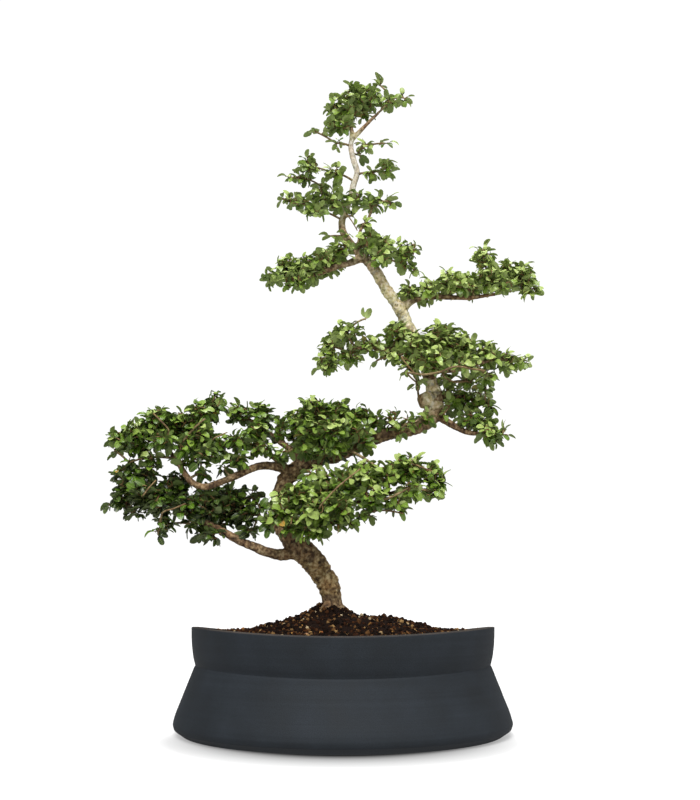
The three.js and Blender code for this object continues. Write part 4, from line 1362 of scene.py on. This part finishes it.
def make_leaf_tree():
    """Leaves in two rows along each shoot, turned to the light, with one at its end"""
    tree, given, end = node_tree("leaves along shoots", {
        "Shoots": "Geometry", "Leaves": "Collection", "Spacing": "Float", "Spread": "Float",
        "Droop": "Float", "Smallest": "Float", "Largest": "Float", "Seed": "Int", "Material": "Material",
    })

    def product(*values):
        return maths(tree, "MULTIPLY", *values)

    def cross(first, second):
        return vector_maths(tree, "NORMALIZE", vector_maths(tree, "CROSS_PRODUCT", first, second))

    def scaled(vector, amount):
        return fetch(tree, "ShaderNodeVectorMath", {0: vector, "Scale": amount}, operation="SCALE")

    def drawn(low, high, offset):
        return chance(tree, maths(tree, "ADD", given["Seed"], float(offset)), low, high)

    lines = fetch(tree, "GeometryNodeMeshToCurve", {"Mesh": given["Shoots"]})
    places = fetch(tree, "GeometryNodeResampleCurve", {0: lines, 3: given["Spacing"]}, mode="LENGTH")
    ahead = fetch(tree, "GeometryNodeInputTangent")
    across = cross(thread_value(tree, "light", "FLOAT_VECTOR"), ahead)
    upright = cross(ahead, across)
    factor = add_node(tree, "GeometryNodeSplineParameter").outputs["Factor"]
    inner = maths(tree, "LESS_THAN", factor, 0.999)
    odd = maths(tree, "MODULO", fetch(tree, "GeometryNodeInputIndex"), 2.0)
    side = maths(tree, "SUBTRACT", product(odd, 2.0), 1.0)
    turned = product(product(side, inner), product(given["Spread"], drawn(*spread_shares, 1)))
    along = scaled(ahead, maths(tree, "COSINE", turned))
    aside = scaled(across, maths(tree, "SINE", turned))
    facing = fetch(tree, "FunctionNodeAxesToRotation", {
        0: vector_maths(tree, "ADD", along, aside), 1: upright,
    }, primary_axis="X", secondary_axis="Z")
    lean = fetch(tree, "ShaderNodeCombineXYZ", {
        "X": drawn(-leaf_tilt, leaf_tilt, 2), "Y": product(given["Droop"], drawn(*droop_shares, 3)),
        "Z": drawn(-leaf_turn, leaf_turn, 4),
    })
    leaning = fetch(tree, "FunctionNodeEulerToRotation", {0: lean})
    posed = fetch(tree, "FunctionNodeRotateRotation", {0: facing, 1: leaning}, rotation_space="LOCAL")
    youth = maths(tree, "MULTIPLY_ADD", maths(tree, "POWER", factor, 3.0), -tip_shrink, 1.0)
    size = product(drawn(given["Smallest"], given["Largest"], 5), youth)
    placed = pick_and_place(tree, places, given["Leaves"], 6, posed, size)
    varied = maths(tree, "ADD", thread_value(tree, "tone"), drawn(-leaf_stray_tone, leaf_stray_tone, 7))
    green = maths(tree, "MINIMUM", varied, lightest_green)
    turning = maths(tree, "GREATER_THAN", drawn(0.0, 1.0, 8), still_green)
    toned = store_tone(tree, placed, maths(tree, "ADD", green, turning))
    close_tree(tree, toned, given["Material"], end)
    return tree


def make_leaf_green():
    """Glossy green above, by each leaf's tone with its painted shade, a pale rib and veins, duller and paler
    below
    """
    material, tree, shader, place = new_material("glossy leaf green", leaf_gloss, leaf_shine)
    unwrapped = add_node(tree, "ShaderNodeUVMap", uv_map="UVMap").outputs[0]
    spot = add_node(tree, "ShaderNodeSeparateXYZ", {0: unwrapped}).outputs
    along = spot["X"]
    from_rib = maths(tree, "ABSOLUTE", maths(tree, "SUBTRACT", spot["Y"], 0.5))
    rib = maths(tree, "LESS_THAN", from_rib, rib_half_width)
    spaced = maths(tree, "MULTIPLY", along, vein_count)
    slant = maths(tree, "SUBTRACT", spaced, maths(tree, "MULTIPLY", from_rib, vein_slant))
    vein = maths(tree, "LESS_THAN", maths(tree, "PINGPONG", slant, 0.5), vein_width)
    lines = maths(tree, "MAXIMUM", rib, maths(tree, "MULTIPLY", vein, vein_strength))
    shade = ramp(tree, maths(tree, "MULTIPLY", mark(tree, "tone"), 0.5), leaf_tones)
    patches = grain(tree, place, leaf_patches, 3)
    mottled = mottle(tree, patch_strength, shade, patches, patch_tones)
    veined = blend(tree, maths(tree, "MULTIPLY", lines, line_strength), mottled, line_colour)
    below = maths(tree, "GREATER_THAN", along, 1.001)
    pale = blend(tree, underside_fade, veined, underside_colour)
    feed(tree, shader, {
        "Base Color": blend(tree, below, veined, pale), "Roughness": between(tree, below, *leaf_roughness),
    })
    uneven = maths(tree, "MULTIPLY", patches, patch_relief)
    relief(tree, shader, maths(tree, "SUBTRACT", uneven, lines), leaf_relief)
    return material


wood_points = [point for path in wood_paths for point in path if point.z > bare_trunk_top]
twig_tree = make_twig_tree()
twig_bark = make_twig_bark()
leaf_tree = make_leaf_tree()
leaf_green = make_leaf_green()
leaf_shapes = collect("leaf shapes", [make_leaf("leaf_%d" % i, *form) for i, form in enumerate(leaf_forms)])
for number, (pad, (stems, lightness, clumps)) in enumerate(pads.items()):
    draw = random.Random(growth_seed + number)
    twigs = []
    shoots = []
    taken = []
    stems_grown = []
    for clump in sorted(clumps, key=off_the_wood):
        more_twigs, more_shoots = grow_clump(draw, clump, lightness, taken, stems_grown)
        twigs += more_twigs
        shoots += more_shoots
    twigs += [grow_bare_stem(*facts, stems_grown) for facts in bare_stems.get(pad, [])]
    thickness = [
        (thick + (thin - thick) * i / (len(path) - 1)) * mm
        for path, thick, thin in twigs for i in range(len(path))
    ]
    lights = [value for path, light, tone in shoots for point in path for value in light]
    tones = [tone for path, light, tone in shoots for point in path]
    nodes = [name for name in frame["nodes"] if any(name.startswith("spray_" + stem) for stem in stems)]

    twig_paths = [path for path, thick, thin in twigs]
    wood_piece = thread_mesh("twigs_" + pad, twig_paths, {"thickness": ("FLOAT", thickness)})
    use_tree(wood_piece, twig_tree, {"Sides": twig_sides, "Material": twig_bark})
    finish_piece(wood_piece, "bark", *nodes)

    leaf_piece = thread_mesh("leaves_" + pad, [path for path, light, tone in shoots], {
        "light": ("FLOAT_VECTOR", lights), "tone": ("FLOAT", tones),
    })
    use_tree(leaf_piece, leaf_tree, {
        "Leaves": leaf_shapes, "Spacing": leaf_spacing * mm, "Spread": math.radians(leaf_spread),
        "Droop": math.radians(leaf_droop), "Smallest": leaf_sizes[0], "Largest": leaf_sizes[1],
        "Seed": 100 * number, "Material": leaf_green,
    })
    finish_piece(leaf_piece, "leaf", *nodes)
discard(leaf_shapes)


# Floor and lights: a plain white table that runs on into a white studio, lit by a main lamp high in front,
# one high behind and a weak one from the right. The soft shade round the pot's foot is painted on the
# table, whose glow gives the foot back the light that the paint takes.
floor_reach = 30
floor_white = "b4b4b4"
floor_glow = 0.6
floor_roughness = 0.8
floor_shine = 0.1
studio_light = 0.22
studio_white = 1.05

# The painted shade, deepest in front: where it is centred, how far it reaches and how it fades outwards
shade_centre = (0, -60 * mm, 0)
shade_start = 102 * mm
shade_end = 176 * mm
shade_tones = [(0, 0.03), (0.3, 0.42), (0.55, 0.62), (0.8, 0.78), (1, 1)]

# Direction each light comes from, its strength and how wide it looks, in degrees
studio_lamps = {
    "key_light": ((-0.2, -1, 1.3), 3.3, 40),
    "top_light": ((0.1, 0.4, 1.5), 1.4, 30),
    "side_light": ((1.2, -0.6, 0.8), 0.7, 60),
}


def make_floor():
    """A wide square that glows white for the camera, and for the pot only where the shade is painted"""
    mesh = bpy.data.meshes.new("studio_floor")
    corners = [(floor_reach * x, floor_reach * y, 0) for x, y in ((-1, -1), (1, -1), (1, 1), (-1, 1))]
    mesh.from_pydata(corners, [], [(0, 1, 2, 3)])
    floor = add_to_scene("studio_floor", mesh)
    material, tree, shader, place = new_material("white table", floor_roughness, floor_shine)
    reach = vector_maths(tree, "DISTANCE", place, shade_centre)
    away = between(tree, reach, 0.0, 1.0, shade_start, shade_end)
    shade = ramp(tree, away, shade_tones)
    seen = add_node(tree, "ShaderNodeLightPath").outputs["Is Camera Ray"]
    given_back = blend(tree, 1.0, 1, shade, "DIFFERENCE")
    feed(tree, shader, {
        "Base Color": blend(tree, 1.0, floor_white, shade, "MULTIPLY"),
        "Emission Color": blend(tree, seen, given_back, shade),
        "Emission Strength": floor_glow,
    })
    floor.data.materials.append(material)


def add_lamp(name, source, strength, width):
    """A far, broad lamp that lights everything evenly from one side"""
    lamp = bpy.data.lights.new(name, "SUN")
    lamp.energy = strength
    lamp.angle = math.radians(width)
    holder = add_to_scene(name, lamp)
    holder.rotation_euler = Vector(source).to_track_quat("Z", "Y").to_euler()


make_floor()
world = bpy.data.worlds.new("white studio")
world.use_nodes = True
sky = world.node_tree
seen = add_node(sky, "ShaderNodeLightPath").outputs["Is Camera Ray"]
glow = between(sky, seen, studio_light, studio_white)
feed(sky, sky.nodes["Background"], {"Strength": glow, "Color": colour(1)})
bpy.context.scene.world = world
bpy.context.scene.view_settings.view_transform = "Standard"
for name, lamp_facts in studio_lamps.items():
    add_lamp(name, *lamp_facts)
